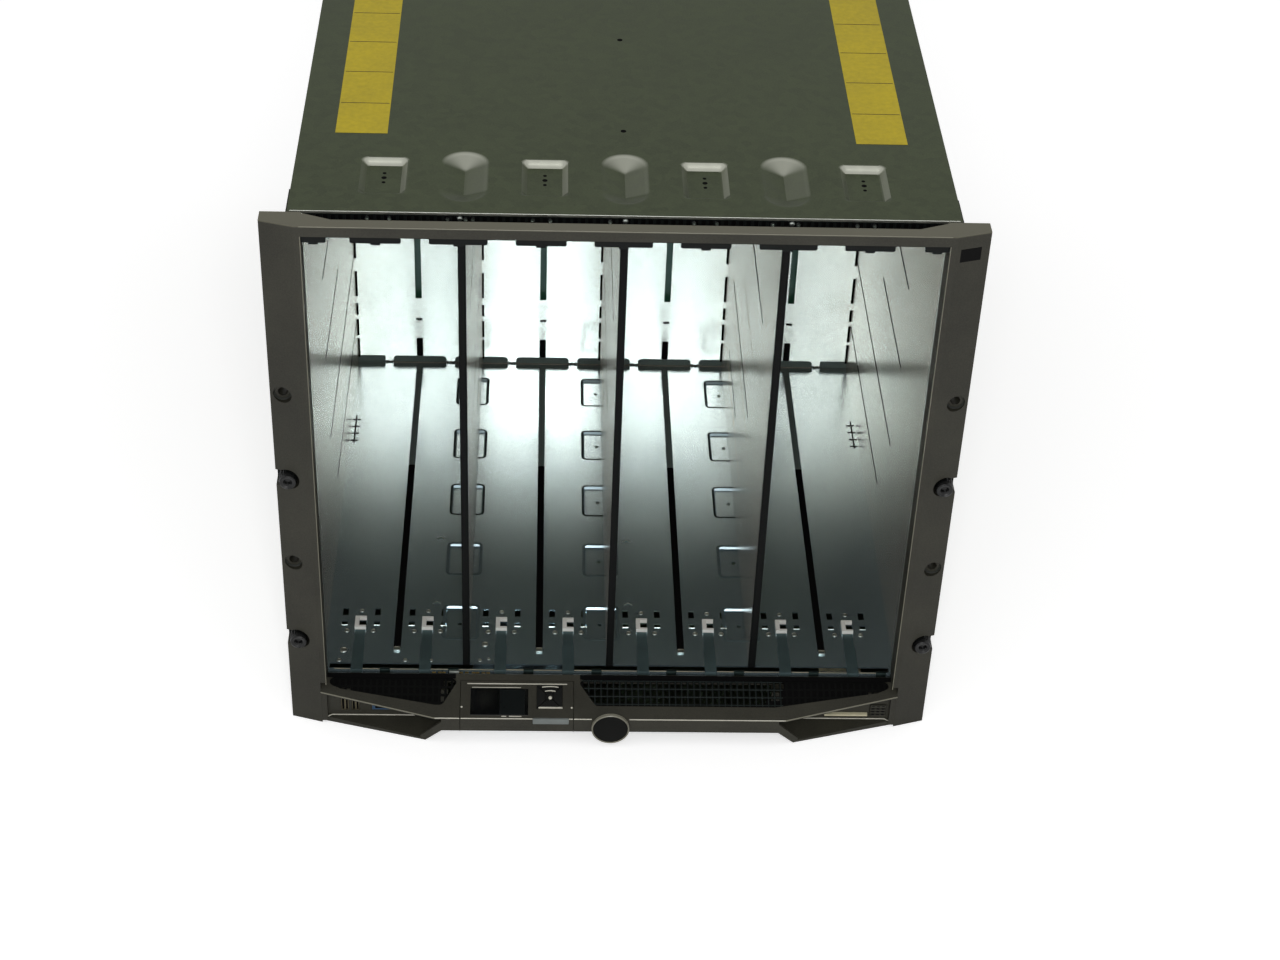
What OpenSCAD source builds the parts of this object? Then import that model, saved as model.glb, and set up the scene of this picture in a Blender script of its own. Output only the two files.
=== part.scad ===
// Ten-unit rack enclosure for blade servers: sheet-metal body, four double blade bays, front bezel with a
// slide-out display, rear power supplies and fan modules. X runs across, +Y to the rear, +Z up.
// The origin is on the bottom face, on the middle of the plane where the rack rails touch the ears.

/* [Enclosure] */
// Outer width of the sheet-metal body
body_w = 447.5; // [446:0.5:449]
// Outer height of the sheet-metal body
body_h = 440.5; // [430:0.5:460]
// Depth of the body behind the rack rails
body_d = 754; // [730:1:860]
// Thickness of the outer sheets
sheet_t = 1.5; // [1:0.1:1.8]
// Thickness of the inner sheets
inner_t = 1.2; // [0.8:0.1:1.4]

/* [Blade bays] */
// Height of the bay floor above the bottom face
floor_z = 40; // [39:0.5:44]
// Distance from the side of the outer bays to the body's outer face
wall_space = 6.55; // [6:0.05:8]
// Depth of the bays, from the rack plane to the back panel
bay_depth = 402; // [380:1:410]
// Width of the guide slots in floor and back panel
guide_w = 5.5; // [4:0.5:8]
// Thickness of the hollow dividers
divider_t = 4.4; // [3.6:0.2:6]
// Height of the long vent slits in dividers and side liners
slit_h = 2; // [1.5:0.5:4]
// Width of the pressed pads in the bay floor
pad_w = 27; // [20:1:32]
// Length of the pressed pads in the bay floor
pad_l = 40; // [30:1:60]
// Depth of the pressed pads
pad_depth = 2; // [1:0.1:3]
// Distance between the pressed pads along the floor
pad_pitch = 76.9; // [65:0.1:80]

/* [Blade latching] */
// Width of the spring fingers on the floor's front edge
finger_w = 8.6; // [7:0.1:12]
// Thickness of the spring fingers
finger_t = 0.6; // [0.4:0.1:1]
// Length of the spring fingers on the floor
finger_l = 41; // [30:1:41]
// Height of the keying clips
clip_h = 3; // [2:0.5:6]

/* [Top cover] */
// Depth of the rectangular presses
cover_pad_depth = 4; // [2:0.5:5]
// Depth of the oval presses
cover_oval_depth = 5; // [2:0.5:6]

/* [Front bezel] */
// How far each rack ear stands out of the body
ear_w = 17.55; // [16:0.05:20]
// How far the bezel stands above the cover
bezel_rise = 0.5; // [0:0.5:2]
// How far the bezel's front face stands in front of the rack plane
bezel_y = 20; // [18:0.5:24]
// How far the bezel's outer edges stand in front of the rack plane
bezel_edge_y = 13; // [10:0.5:16]
// Height of the top bar's front face
bar_h = 8; // [7:0.5:12]
// Width of the hanging tabs over the guide slots
tab_w = 33.4; // [20:0.2:40]
// Width of the hanging tabs over the dividers
wide_tab_w = 38.4; // [20:0.2:44]
// How far the tabs hang below the top bar
tab_h = 5.2; // [3:0.1:5.4]
// Thickness of the metal rack ears
ear_t = 2; // [1.5:0.1:3]

/* [Rack fastening] */
// Distance from an ear's outer edge to its row of fixings
rack_hole_edge = 8.75; // [8:0.05:9.5]
// Height of the lowest fixing, a thumbscrew, above the bottom face
rack_hole_z = 80.5; // [60:0.5:84]
// Distance between two fixings that follow each other, a plain hole and a thumbscrew in turn
rack_hole_step = 73; // [60:0.5:76]
// Distance between the two thumbscrews or the two plain holes of an ear
rack_hole_pitch = 149.2; // [145:0.1:152]
// Radius of the plain rack holes
rack_hole_r = 3.5; // [3:0.1:4]
// Radius of the thumbscrew's threaded shank
screw_r = 3; // [2.5:0.1:3.1]
// Radius of the thumbscrew's knob
knob_r = 6.5; // [5.5:0.1:7]
// Length of the thumbscrew's knob
knob_l = 18; // [12:1:24]
// How far the thumbscrew's shank reaches behind the ear
shank_l = 14; // [8:1:20]

/* [Lower bezel] */
// Distance from the rack plane to the rear edge of the sloped top
lip_y = 8; // [8:0.5:10]
// Distance from the rack plane to the ridge between sloped top and front face
ridge_y = 42; // [40:0.5:48]
// How far the ridge lies below the rear edge of the sloped top
ridge_drop = 12.5; // [10:0.5:14]
// Width of the slanted stretch at each end of the ridge
ridge_run = 86; // [80:1:92]
// Distance from the rack plane to the ridge's two ends
ridge_end_y = 22.5; // [21:0.5:26]
// Height of the front face below the ridge
face_h = 12.5; // [10:0.5:14]
// Wall thickness of the lower bezel
nose_t = 2; // [1.5:0.1:2.5]
// Distance from the rack plane to the wings' tips
wing_tip_y = 38.5; // [37:0.5:40]
// Height of the wings' rear edge above the bottom face
wing_h = 4.5; // [3.5:0.5:6]
// Width of the bars between the holes of the air grilles
grille_bar = 1.6; // [1:0.1:2.2]
// Distance between the holes of the air grilles, across
grille_pitch = 4.7; // [4:0.1:8]
// Distance between the rows of holes of the air grilles
grille_row = 6.6; // [5:0.1:8]
// Radius of the round badge, which is left blank
badge_r = 14.2; // [12:0.1:16]

/* [Display module] */
// Width of the display module
lcd_w = 85; // [84:1:90]
// Distance from the middle of the enclosure to the middle of the display module
lcd_x = 70.5; // [69:0.5:72]
// Distance down the slope from its rear edge to the display module's rear edge
lcd_s = 4.5; // [4:0.5:8]
// Gap around the display module
lcd_gap = 0.4; // [0.3:0.1:0.8]
// Width of the screen
screen_w = 38; // [30:1:44]
// Height of the screen, down the slope
screen_h = 21; // [18:1:22]
// Length of the tray that carries the display module
tray_l = 120; // [110:1:150]
// Radius of the tilt pin
tilt_pin_r = 1.5; // [1:0.1:1.6]
// Radial clearance of the tilt pin
pin_gap = 0.05; // [0.02:0.01:0.1]

/* [Front controls] */
// Overall size of the round group of keys
pad_size = 19; // [17:0.5:20]
// Radius of the select key
select_r = 3; // [2.5:0.1:3.5]
// How far the keys stand out of the display module
key_rise = 0.8; // [0.6:0.1:1.2]
// Gap between keys and around the power button
key_gap = 0.4; // [0.3:0.1:0.6]
// Width of the ribbed power button
power_w = 12; // [9:0.5:12]
// Height of the ribbed power button
power_h = 11; // [8:0.5:12]
// Width of the pull-out information tag
tag_w = 33; // [28:1:36]
// Thickness of the pull-out information tag
tag_t = 1.6; // [1.2:0.1:2]
// Length of the pull-out information tag
tag_l = 75; // [60:1:90]

/* [Power supplies] */
// Space between two power supplies
psu_space = 3.1; // [2.4:0.1:5]
// Height of a power supply
psu_h = 124; // [110:1:125]

/* [Fans] */
// Depth of a fan module
fan_d = 96; // [90:1:120]
// Radius over the fan blades
rotor_r = 38; // [34:0.5:38.5]
// Radius of the fan hub
hub_r = 15; // [12:0.5:18]
// Radius of the fan's shaft
shaft_r = 3; // [2:0.1:4]
// Number of fan blades
blade_count = 7; // [5:1:9]

/* [Rear modules] */
// Width of an input-output module bay
io_w = 29.1; // [27:0.1:29.6]
// Height of a management controller module
controller_h = 30; // [26:1:31]

/* [Hidden] */
$fn = 48;

// Overlaps and clearances
tiny = 0.01;
join = 0.02;
fit_gap = 0.2;

// Sheets and bays
half_w = body_w / 2;
inner_half = half_w - sheet_t;
cover_z = body_h - sheet_t;
bezel_w = body_w + 2 * ear_w;
bezel_h = body_h + bezel_rise;
bay_half = half_w - wall_space;
slot_pitch = bay_half / 4;
bay_top_z = bezel_h - bar_h;
floor_front = 4;
floor_rim = 1.4;
floor_lip_h = 10;
front_gap = 3;
floor_under = floor_z - inner_t;
back_y = bay_depth + inner_t;
guide_y = 21;
pill_w = 47;
pill_h = 7;
pill_slit_w = 9;
pill_slit_h = 1.8;
back_guide_z = floor_z + 36;
back_guide_top = bay_top_z - 12;
divider_y = front_gap;
divider_shift = -1.1;
divider_top = cover_z - cover_oval_depth - fit_gap;
pad_y = 51.5;
pad_shift = -6.3;
pad_r = 4;
pad_slope = 2;
pad_hole_r = 1.6;
pan_front = 18;
pan_flange = 12;

// Long vent slits: front end, rear end's distance from the back panel, height over the floor
slits = [[135, 200, 259], [130, 150, 192], [134, 15, 115], [171, 16, 48]];

// Blade latching: every bay between two dividers has one set on each side of its guide slot
latch_shift = -3.6;
latch_half = 25.8;
latch_x = [for (k = [-3:2:3]) for (side = [-1, 1]) k * slot_pitch + latch_shift + side * latch_half];
finger_step_y = 25;
finger_step = 0.5;
finger_drop = 8;
clip_y = 41.3;
clip_l = 12.8;
clip_w = 8.6;
clip_bar = 3.2;
clip_arm = 2;
vent_x = 12.4;
vent_w = 4.4;
vent_y = [49, 62.4];
vent_l = [4.5, 8.5];

// Cover
cover_press_y = 48;
cover_pad_w = 29;
cover_pad_l = 48;
cover_pad_r = 6;
cover_pad_slope = [3.5, 9];
cover_pad_hole_y = 7;
cover_pad_hole_r = 1.3;
cover_oval_w = 30;
cover_oval_l = 70;
cover_oval_r = cover_oval_w / 2 - tiny;
cover_oval_slope = [14, 26];
cover_hole_y = [113, 249];
cover_hole_r = 2;

// Lower bezel
lip_z = floor_z - 2;
lip_over = 1.2;
lip_h = 7;
slope_a = atan(ridge_drop / (ridge_y - lip_y));
slope_l = (ridge_y - lip_y) / cos(slope_a);
slope_end = (ridge_end_y - lip_y) / cos(slope_a);
ridge_z = lip_z - ridge_drop;
face_z = ridge_z - face_h;
nose_half = bay_half + 0.8;
ridge_half = nose_half - ridge_run;
recess_y = 16;
recess_t = 1.6;
recess_top = lip_z - 8;
opening_half = bay_half - 3.2;
column_back = ear_t;
wing_tip_x = ridge_half + 8;
wing_root_y = recess_y + 1.5;
fin_w = 9;
fin_in = ridge_half - fin_w;
bar_end = ridge_half - 5;
grille_t = 1.5;
grille_r = 4;
grille_rim = 1;
badge_z = ridge_z - 8;
badge_pin_r = 3;
badge_t = 3;

// Sockets, power button and information tag
port_z = 9;
usb_x = [201, 193];
usb_w = 6;
usb_h = 13;
vga_x = 172;
vga_w = 18;
vga_h = 9;
port_gap = 0.3;
port_wall = 0.5;
port_board_y = recess_t - recess_y + 8;
port_board_t = 1.6;
port_board_x = [158, 210];
power_switch = 8;
tag_x = 181;
tag_z = wing_h + 4.4;
tag_out = 9;
tag_wall = 1.2;
tag_guide_l = 45;
power_x = 205.4;
power_z = 13.5;
power_out = 1.2;
power_flange = 1.5;
power_rib = 1.4;

// Display module
lcd_mid = -lcd_x;
lcd_left = lcd_mid - lcd_w / 2;
lcd_right = lcd_mid + lcd_w / 2;
lcd_t = 6;
tilt_y = ridge_y - 6;
tilt_z = face_z + 3.5;
lug_r = 3.2;
lug_w = 8;
lug_x = [lcd_left + 12, lcd_right - 12 - lug_w];
ear_r = 2.5;
ear_reach = 3.4;
ear_thick = 4;
ear_root = -tilt_y + ear_reach + 5;
ear_x = [lcd_left + 7, lcd_right - 7 - ear_thick];
tray_t = 1.5;
tray_z = face_z - tray_t;
tray_inset = 4;
tray_gap = 0.3;
rail_t = 1.5;
rail_lip = 4;
rail_y = -4;
rail_l = 110;
screen_mid = lcd_mid - 16;
screen_s = 21;
keys_mid = lcd_mid + 24.5;
keys_s = 18;
key_deep = 2.6;
key_floor = 1;

// Bezel bar and intake strip
bar_back = 11;
bar_taper = 20;
bar_end_back = 3;
strip_t = 1.2;
strip_front = bezel_y - 1.5;
strip_back = 2.4;
strip_z = bay_top_z - strip_t;
strip_slot_w = 3;
strip_slot_h = 4.4;
strip_pitch = 5;
tab_shift = -2;
tab_nub_w = 6.5;
tab_nub_h = 1.4;

// Rack fastening
fix_x = bezel_w / 2 - rack_hole_edge;
screw_z = [rack_hole_z, rack_hole_z + rack_hole_pitch];
hole_z = [rack_hole_z + rack_hole_step, rack_hole_z + rack_hole_step + rack_hole_pitch];
notch_gap = 1.7;
notch_lip = 1.5;
rack_hole_rim = 3;
rack_hole_sink = 2.5;
ear_flange_y = 30;
collar_r = screw_r + 0.3;
collar_l = 0.5;
knob_gap = 0.3;
knob_taper = 3;
knob_slot = [1.4, 6.5, 5];

// Midplane
board_gap = 6;
board_t = 3;
board_half = 200;
board_post_r = 3.5;
board_post_x = [-180, -25, 25, 180];
plug_pitch = 60;
plug_w = 16;
plug_h = 45;
plug_d = 12;
plug_rise = [50, 130, 210, 290];
midplane_space = 36.8;

// Rear
rear_inset = 2;
rear_gap = 0.6;
psu_gap = 0.5;
frame_y = back_y + midplane_space;
psu_y = frame_y + 22;
psu_pitch = 2 * inner_half / 6;
psu_w = psu_pitch - psu_space;
psu_top = sheet_t + psu_gap + psu_h;
psu_vent = [4.2, 8, 5.6];
psu_vent_step = [6.5, 8];
psu_inlet = [28, 6, 21];
psu_handle_w = 22;
psu_handle_out = 22;
psu_handle_h = 16;
psu_handle_t = 2.5;
shelf_z = psu_top + psu_gap;
upper_z = shelf_z + sheet_t;
rib_h = 10;
fan_w = (inner_half - 3 * io_w - 2 * inner_t - 4 * rear_gap) / 1.5;
fan_pitch = (cover_z - upper_z - rear_gap) / 3;
fan_h = fan_pitch - rear_gap;
wall_1 = fan_w / 2 + rear_gap;
io_x = wall_1 + inner_t + rear_gap / 2;
wall_2 = io_x + 3 * io_w + rear_gap / 2;
fan_x = wall_2 + inner_t + rear_gap + fan_w / 2;
fan_y = body_d - fan_d - rear_inset;
fan_z0 = upper_z + rear_gap + fan_h / 2;
io_h = cover_z - upper_z - controller_h - 3 * rear_gap;
controller_z = upper_z + rear_gap + io_h + rear_gap;
blank_d = 40;
rotor_back = 10;
rotor_l = 26;
ring_t = 1.5;
ring_gap = 1.5;
ring_l = 42;
guard_t = 2;
guard_r = [21, 30];
motor_r = 13;
blade_t = 1.4;
blade_arc_r = 24;
blade_pitch = 12;

// ---------- shared shapes ----------

// A flat rectangle with round corners, centred, made from true arcs.
module round_rect(w, h, r) {
    square([w - 2 * r, h], center = true);
    square([w, h - 2 * r], center = true);
    for (x = [-1, 1])
        for (y = [-1, 1])
            translate([x * (w / 2 - r), y * (h / 2 - r)]) circle(r);
}

// A block given by its low and high corners.
module block(low, high) {
    translate(low) cube(high - low);
}

// A pressed hollow below z = 0: w by l at its top with corners of radius r, d deep, its walls leaning in.
// It is drawn from its bottom up to the height top.
module press(w, l, d, r, slope, top) {
    intersection() {
        translate([0, 0, -d]) linear_extrude(d + top) round_rect(w, l, r);
        translate([-w, 0, 0]) along_x(2 * w) press_section(l / 2, d, slope[1], top);
        upright(-l, 2 * l) press_section(w / 2, d, slope[0], top);
    }
}

module press_section(half, d, slope, top) {
    polygon([[-half, top], [-half, 0], [slope - half, -d], [half - slope, -d], [half, 0], [half, top]]);
}

// A press's outer skin, t below it.
module press_skin(w, l, d, r, slope, t) {
    translate([0, 0, -t]) press(w + t, l + t, d, r + t / 2, slope, t / 2);
}

// Left and right copies.
module both_sides() {
    for (side = [0, 1]) mirror([side, 0, 0]) children();
}

// Local X stays across, local -Y runs down the sloped top of the lower bezel, local Z is its outward normal.
module on_slope() {
    translate([0, -lip_y, lip_z]) rotate([slope_a, 0, 0]) children();
}

// An outline in the X-Z plane, drawn from its front face at y over a thickness towards the rear.
module upright(y, t) {
    translate([0, y + t, 0]) rotate([90, 0, 0]) linear_extrude(t) children();
}

// An outline in the Y-Z plane, drawn over a length towards +X.
module along_x(l) {
    rotate([90, 0, 90]) linear_extrude(l) children();
}

// A point in the Y-Z plane, s down the sloped top from its rear edge and h above it.
function slope_point(s, h) = [
    -lip_y - s * cos(slope_a) - h * sin(slope_a),
    lip_z - s * sin(slope_a) + h * cos(slope_a)
];

// ---------- sheet-metal body ----------

module bottom_pan() {
    color("#50564a") {
        block([-half_w, 0, 0], [half_w, body_d, sheet_t]);
        block([fit_gap - opening_half, -pan_front, 0], [opening_half - fit_gap, tiny, sheet_t]);
        both_sides()
            block([inner_half - sheet_t, 0, 0], [inner_half, body_d, pan_flange]);
        tray_rail();
        translate([2 * lcd_mid, 0, 0]) mirror([1, 0, 0]) tray_rail();
    }
}

// A rail beside the display tray, with a shelf below the tray's edge and a lip above it.
module tray_rail() {
    outer = lcd_left + tray_inset - tray_gap - rail_t;
    block([outer, rail_y, 0], [outer + rail_t, rail_y + rail_l, tray_z + tray_t + tray_gap + rail_t]);
    block([outer, rail_y, 0], [outer + rail_t + rail_lip, rail_y + rail_l, tray_z - tray_gap]);
    block([outer, rail_y, tray_z + tray_t + tray_gap],
          [outer + rail_t + rail_lip, rail_y + rail_l, tray_z + tray_t + tray_gap + rail_t]);
}

module side_panel() {
    block([inner_half, 0, sheet_t], [half_w, body_d, cover_z]);
    block([bay_half + inner_t, 0, sheet_t + pan_flange], [inner_half + tiny, sheet_t, cover_z]);
}

module left_side_panel() {
    color("#565c50") mirror([1, 0, 0]) side_panel();
}

module right_side_panel() {
    color("#565c50") side_panel();
}

// The cover is pressed down over every slot boundary, to an oval and a rectangle in turn.
module top_cover() {
    color("#4b5340") difference() {
        union() {
            block([-half_w, 0, cover_z], [half_w, body_d, body_h]);
            cover_pads()
                press_skin(cover_pad_w, cover_pad_l, cover_pad_depth, cover_pad_r, cover_pad_slope, sheet_t);
            cover_ovals()
                press_skin(cover_oval_w, cover_oval_l, cover_oval_depth, cover_oval_r, cover_oval_slope,
                           sheet_t);
        }
        cover_pads() {
            press(cover_pad_w, cover_pad_l, cover_pad_depth, cover_pad_r, cover_pad_slope, 1);
            for (j = [-1:1])
                translate([0, j * cover_pad_hole_y, -2 * cover_pad_depth])
                    cylinder(r = cover_pad_hole_r, h = 2 * cover_pad_depth);
        }
        cover_ovals()
            press(cover_oval_w, cover_oval_l, cover_oval_depth, cover_oval_r, cover_oval_slope, 1);
        for (y = cover_hole_y)
            translate([0, y, cover_z - tiny]) cylinder(r = cover_hole_r, h = 2 * sheet_t);
    }
}

module cover_pads() {
    for (k = [-3:2:3])
        translate([k * slot_pitch, cover_press_y, body_h]) children();
}

module cover_ovals() {
    for (k = [-2:2:2])
        translate([k * slot_pitch, cover_press_y, body_h]) children();
}

// ---------- blade bays ----------

// The long slits, cut over a width from x towards +X.
module vent_slits(x, w) {
    for (cut = slits)
        block([x, cut[0], floor_z + cut[2] - slit_h / 2],
              [x + w, bay_depth - cut[1], floor_z + cut[2] + slit_h / 2]);
}

module bay_side_liners() {
    color("#7c857f") both_sides() difference() {
        block([bay_half, 0, sheet_t], [bay_half + inner_t, back_y, cover_z]);
        vent_slits(bay_half - inner_t, 3 * inner_t);
    }
}

module floor_pads() {
    for (k = [-2:2:2])
        for (j = [0:4])
            translate([k * slot_pitch + pad_shift, pad_y + j * pad_pitch, floor_z]) children();
}

// A hole through the floor, given by its centre and size.
module floor_hole(x, y, w, l) {
    block([x - w / 2, y - l / 2, floor_under - 1], [x + w / 2, y + l / 2, floor_z + 1]);
}

// The gap behind the floor's front rim is open between the spring fingers.
module rim_gaps() {
    ends = concat([-bay_half], latch_x, [bay_half]);
    for (i = [0:len(ends) - 2])
        block([ends[i] + finger_w / 2 + fit_gap, floor_rim - floor_front, floor_under - 1],
              [ends[i + 1] - finger_w / 2 - fit_gap, front_gap, floor_z + 1]);
}

module bay_floor() {
    color("#3f4c4c") difference() {
        union() {
            block([-bay_half, -floor_front, floor_under], [bay_half, bay_depth, floor_z]);
            block([-bay_half, -floor_front, floor_z - floor_lip_h],
                  [bay_half, inner_t - floor_front, floor_z]);
            floor_pads() press_skin(pad_w, pad_l, pad_depth, pad_r, [pad_slope, pad_slope], inner_t);
        }
        floor_pads() {
            press(pad_w, pad_l, pad_depth, pad_r, [pad_slope, pad_slope], 1);
            translate([divider_shift, 0, -floor_z / 2]) cylinder(r = pad_hole_r, h = floor_z / 2);
        }
        for (k = [-3:2:3])
            block([k * slot_pitch - guide_w / 2, guide_y, floor_under - 1],
                  [k * slot_pitch + guide_w / 2, bay_depth + 1, floor_z + 1]);
        for (k = [-3:3])
            block([k * slot_pitch - pill_w / 2, bay_depth - pill_h, floor_under - 1],
                  [k * slot_pitch + pill_w / 2, bay_depth + 1, floor_z + 1]);
        rim_gaps();
        for (x = latch_x) {
            for (side = [-1, 1])
                for (j = [0, 1])
                    floor_hole(x + side * vent_x, vent_y[j], vent_w, vent_l[j]);
            floor_hole(x + clip_bar / 2, clip_y + clip_l / 2, clip_w - clip_bar, clip_l - 2 * clip_arm);
        }
        both_sides()
            block([opening_half - fit_gap, -bezel_y, 0], [bay_half + 1, tiny - column_back, floor_z + 1]);
    }
}

module bay_back_panel() {
    color("#8b9690") difference() {
        block([-bay_half, bay_depth, floor_under], [bay_half, back_y, cover_z]);
        for (k = [-3:2:3])
            block([k * slot_pitch - guide_w / 2, bay_depth - 1, back_guide_z],
                  [k * slot_pitch + guide_w / 2, back_y + 1, back_guide_top]);
        for (k = [-3:3])
            upright(bay_depth - 1, inner_t + 2)
                translate([k * slot_pitch, floor_z + pill_h / 2])
                    round_rect(pill_w, pill_h, pill_h / 2 - tiny);
        for (k = [-3.5:3.5])
            block([k * slot_pitch - pill_slit_w / 2, bay_depth - 1, floor_z + tiny],
                  [k * slot_pitch + pill_slit_w / 2, back_y + 1, floor_z + pill_slit_h]);
    }
}

// A divider is one sheet folded round its front edge, open at the rear, the top and the bottom.
module divider(k) {
    translate([k * slot_pitch + divider_shift - divider_t / 2, 0, 0]) difference() {
        block([0, divider_y, floor_z], [divider_t, bay_depth, divider_top]);
        block([inner_t, divider_y + inner_t, floor_z - 1],
              [divider_t - inner_t, bay_depth + 1, divider_top + 1]);
        vent_slits(-1, divider_t + 2);
    }
}

module divider_left() {
    color("#59625e") divider(-2);
}

module divider_centre() {
    color("#59625e") divider(0);
}

module divider_right() {
    color("#59625e") divider(2);
}

// The circuit board behind the bays stands on posts and carries the rear connectors.
module midplane_board() {
    board_y = back_y + board_gap;
    color("#1f4a30") {
        block([-board_half, board_y, floor_z + 20], [board_half, board_y + board_t, cover_z - 10]);
        for (x = board_post_x)
            for (z = [floor_z + 30, cover_z - 25])
                translate([x, back_y, z]) rotate([-90, 0, 0])
                    cylinder(r = board_post_r, h = board_gap + tiny);
    }
    color("#202224")
        for (k = [-2.5:2.5])
            for (z = plug_rise)
                block([k * plug_pitch - plug_w / 2, board_y + board_t - tiny, floor_z + z],
                      [k * plug_pitch + plug_w / 2, board_y + board_t + plug_d, floor_z + z + plug_h]);
}

// ---------- blade latching hardware ----------

// Every finger lies on the floor with a step in its height, and is bent down over the floor's rim.
module spring_fingers() {
    color("#5d6a69")
        for (x = latch_x)
            translate([x - finger_w / 2, 0, 0]) {
                block([0, -floor_front - finger_t, floor_z], [finger_w, finger_step_y, floor_z + finger_t]);
                block([finger_step, finger_step_y - tiny, floor_z],
                      [finger_w - finger_step, finger_l, floor_z + finger_t / 2]);
                block([0, -floor_front - finger_t, floor_z - finger_drop],
                      [finger_w, -floor_front, floor_z + finger_t]);
            }
}

// A clip is a bracket that is open towards +X, round a hole in the floor.
module keying_clips() {
    color("#e6e6e0")
        for (x = latch_x)
            translate([x - clip_w / 2, clip_y, floor_z]) {
                block([0, 0, 0], [clip_bar, clip_l, clip_h]);
                block([0, 0, 0], [clip_w, clip_arm, clip_h]);
                block([0, clip_l - clip_arm, 0], [clip_w, clip_l, clip_h]);
            }
}

// ---------- rack ears and their fasteners ----------

module rack_holes(r, heights, y, l) {
    for (z = heights)
        translate([fix_x, y, z]) rotate([-90, 0, 0]) cylinder(r = r, h = l);
}

module rack_ears() {
    color("#2e2f2d") both_sides() difference() {
        union() {
            block([half_w, -ear_t, sheet_t], [bezel_w / 2, 0, cover_z]);
            block([half_w, -ear_t, sheet_t], [half_w + ear_t / 2, ear_flange_y, cover_z]);
        }
        rack_holes(rack_hole_r, hole_z, -ear_t - 1, ear_t + 2);
        rack_holes(collar_r + knob_gap, screw_z, -ear_t - 1, ear_t + 2);
    }
}

module thumbscrew(i) {
    side = (i % 2 == 1) ? -1 : 1;
    z = screw_z[floor((i - 1) / 2)];
    color("#16171a") translate([side * fix_x, -ear_t - knob_gap, z]) rotate([90, 0, 0]) difference() {
        union() {
            cylinder(r = knob_r, h = knob_l - knob_taper);
            translate([0, 0, knob_l - knob_taper])
                cylinder(r1 = knob_r, r2 = knob_r - knob_taper / 2, h = knob_taper);
            translate([0, 0, -knob_gap - ear_t - collar_l]) cylinder(r = collar_r, h = ear_t + collar_l + 1);
            translate([0, 0, -knob_gap - ear_t - shank_l]) cylinder(r = screw_r, h = shank_l);
        }
        for (a = [0, 90])
            rotate([0, 0, a]) translate([0, 0, knob_l]) cube(knob_slot, center = true);
    }
}

// ---------- bezel ----------

// Plan outline of a column: its front face turns back towards the outer edge.
module column_plan() {
    polygon([
        [opening_half, -bezel_y],
        [nose_half, -bezel_y],
        [bezel_w / 2, -bezel_edge_y],
        [bezel_w / 2, -column_back],
        [opening_half, -column_back]
    ]);
}

module front_bezel() {
    color("#34362f") difference() {
        union() {
            both_sides() linear_extrude(bezel_h) column_plan();
            translate([0, 0, bay_top_z]) linear_extrude(bar_h) bar_plan();
        }
        block([-nose_half - fit_gap, -bezel_y - 1, -1], [nose_half + fit_gap, 1, lip_z + nose_t]);
        both_sides() {
            rack_holes(rack_hole_r, hole_z, -bezel_y - 1, bezel_y + 2);
            rack_holes(rack_hole_r + rack_hole_rim, hole_z,
                       -bezel_y - 1, bezel_y - bezel_edge_y + rack_hole_sink);
            for (z = screw_z) {
                translate([fix_x, -bezel_y - 1, z]) rotate([-90, 0, 0])
                    cylinder(r = knob_r + notch_gap, h = bezel_y + 2);
                block([fix_x, -bezel_y - 1, z - knob_r - notch_gap + notch_lip],
                      [bezel_w / 2 + 1, 1, z + knob_r + notch_gap - notch_lip]);
            }
        }
    }
}

// Plan outline of the top bar, which is deeper where it meets the columns.
module bar_plan() {
    polygon([
        [-opening_half - 1, -bezel_y],
        [opening_half + 1, -bezel_y],
        [opening_half + 1, -bar_end_back],
        [opening_half - bar_taper, -bar_back],
        [bar_taper - opening_half, -bar_back],
        [-opening_half - 1, -bar_end_back]
    ]);
}

// A tab in the X-Z plane that hangs below the strip, with a nub on its middle.
module hanging_tab(w) {
    upright(-strip_front, strip_t) {
        translate([0, strip_z - tab_h / 2 + strip_t]) round_rect(w, tab_h, tab_h / 4);
        translate([0, strip_z - tab_h + strip_t]) square([tab_nub_w, 2 * tab_nub_h], center = true);
    }
}

// The black strip runs under the top bar: tabs hang from its front edge, and its perforated rear edge
// stands up between the bar and the cover.
module top_intake_strip() {
    strip_half = opening_half - fit_gap;
    color("#1b1c1a") difference() {
        union() {
            block([-strip_half, -strip_front, strip_z], [strip_half, strip_back, strip_z + strip_t]);
            block([-strip_half, strip_back - strip_t, strip_z], [strip_half, strip_back, cover_z - fit_gap]);
            for (k = [-3:3])
                translate([k * slot_pitch + tab_shift, 0, 0]) hanging_tab((k % 2 == 0) ? wide_tab_w : tab_w);
            both_sides()
                translate([strip_half - tab_w / 4, 0, 0]) hanging_tab(tab_w / 2);
        }
        for (x = [-strip_half + strip_pitch:strip_pitch:strip_half - strip_pitch])
            translate([x, strip_back, strip_z + strip_t + strip_slot_h / 2])
                cube([strip_slot_w, 4 * strip_t, strip_slot_h], center = true);
    }
}

// ---------- lower bezel ----------

module nose_outline() {
    polygon([
        [-nose_half, lip_over],
        [nose_half, lip_over],
        [nose_half, -slope_end],
        [ridge_half, -slope_l],
        [-ridge_half, -slope_l],
        [-nose_half, -slope_end]
    ]);
}

// A grille's outline with round corners; grow widens it all round, and its inner corners are at inner_top
// and inner_low.
module grille_outline(inner_top, inner_low, grow) {
    corners = [
        [inner_top, -1.6],
        [nose_half - 6, -1.6],
        [nose_half - 12, -12.3],
        [ridge_half - 4, -25],
        [inner_low, -25]
    ];
    middle = [(inner_top + nose_half) / 2, -10];
    hull()
        for (c = corners)
            translate([c[0] + sign(middle[0] - c[0]) * grille_r, c[1] + sign(middle[1] - c[1]) * grille_r])
                circle(grille_r + grow, $fn = 32);
}

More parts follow.
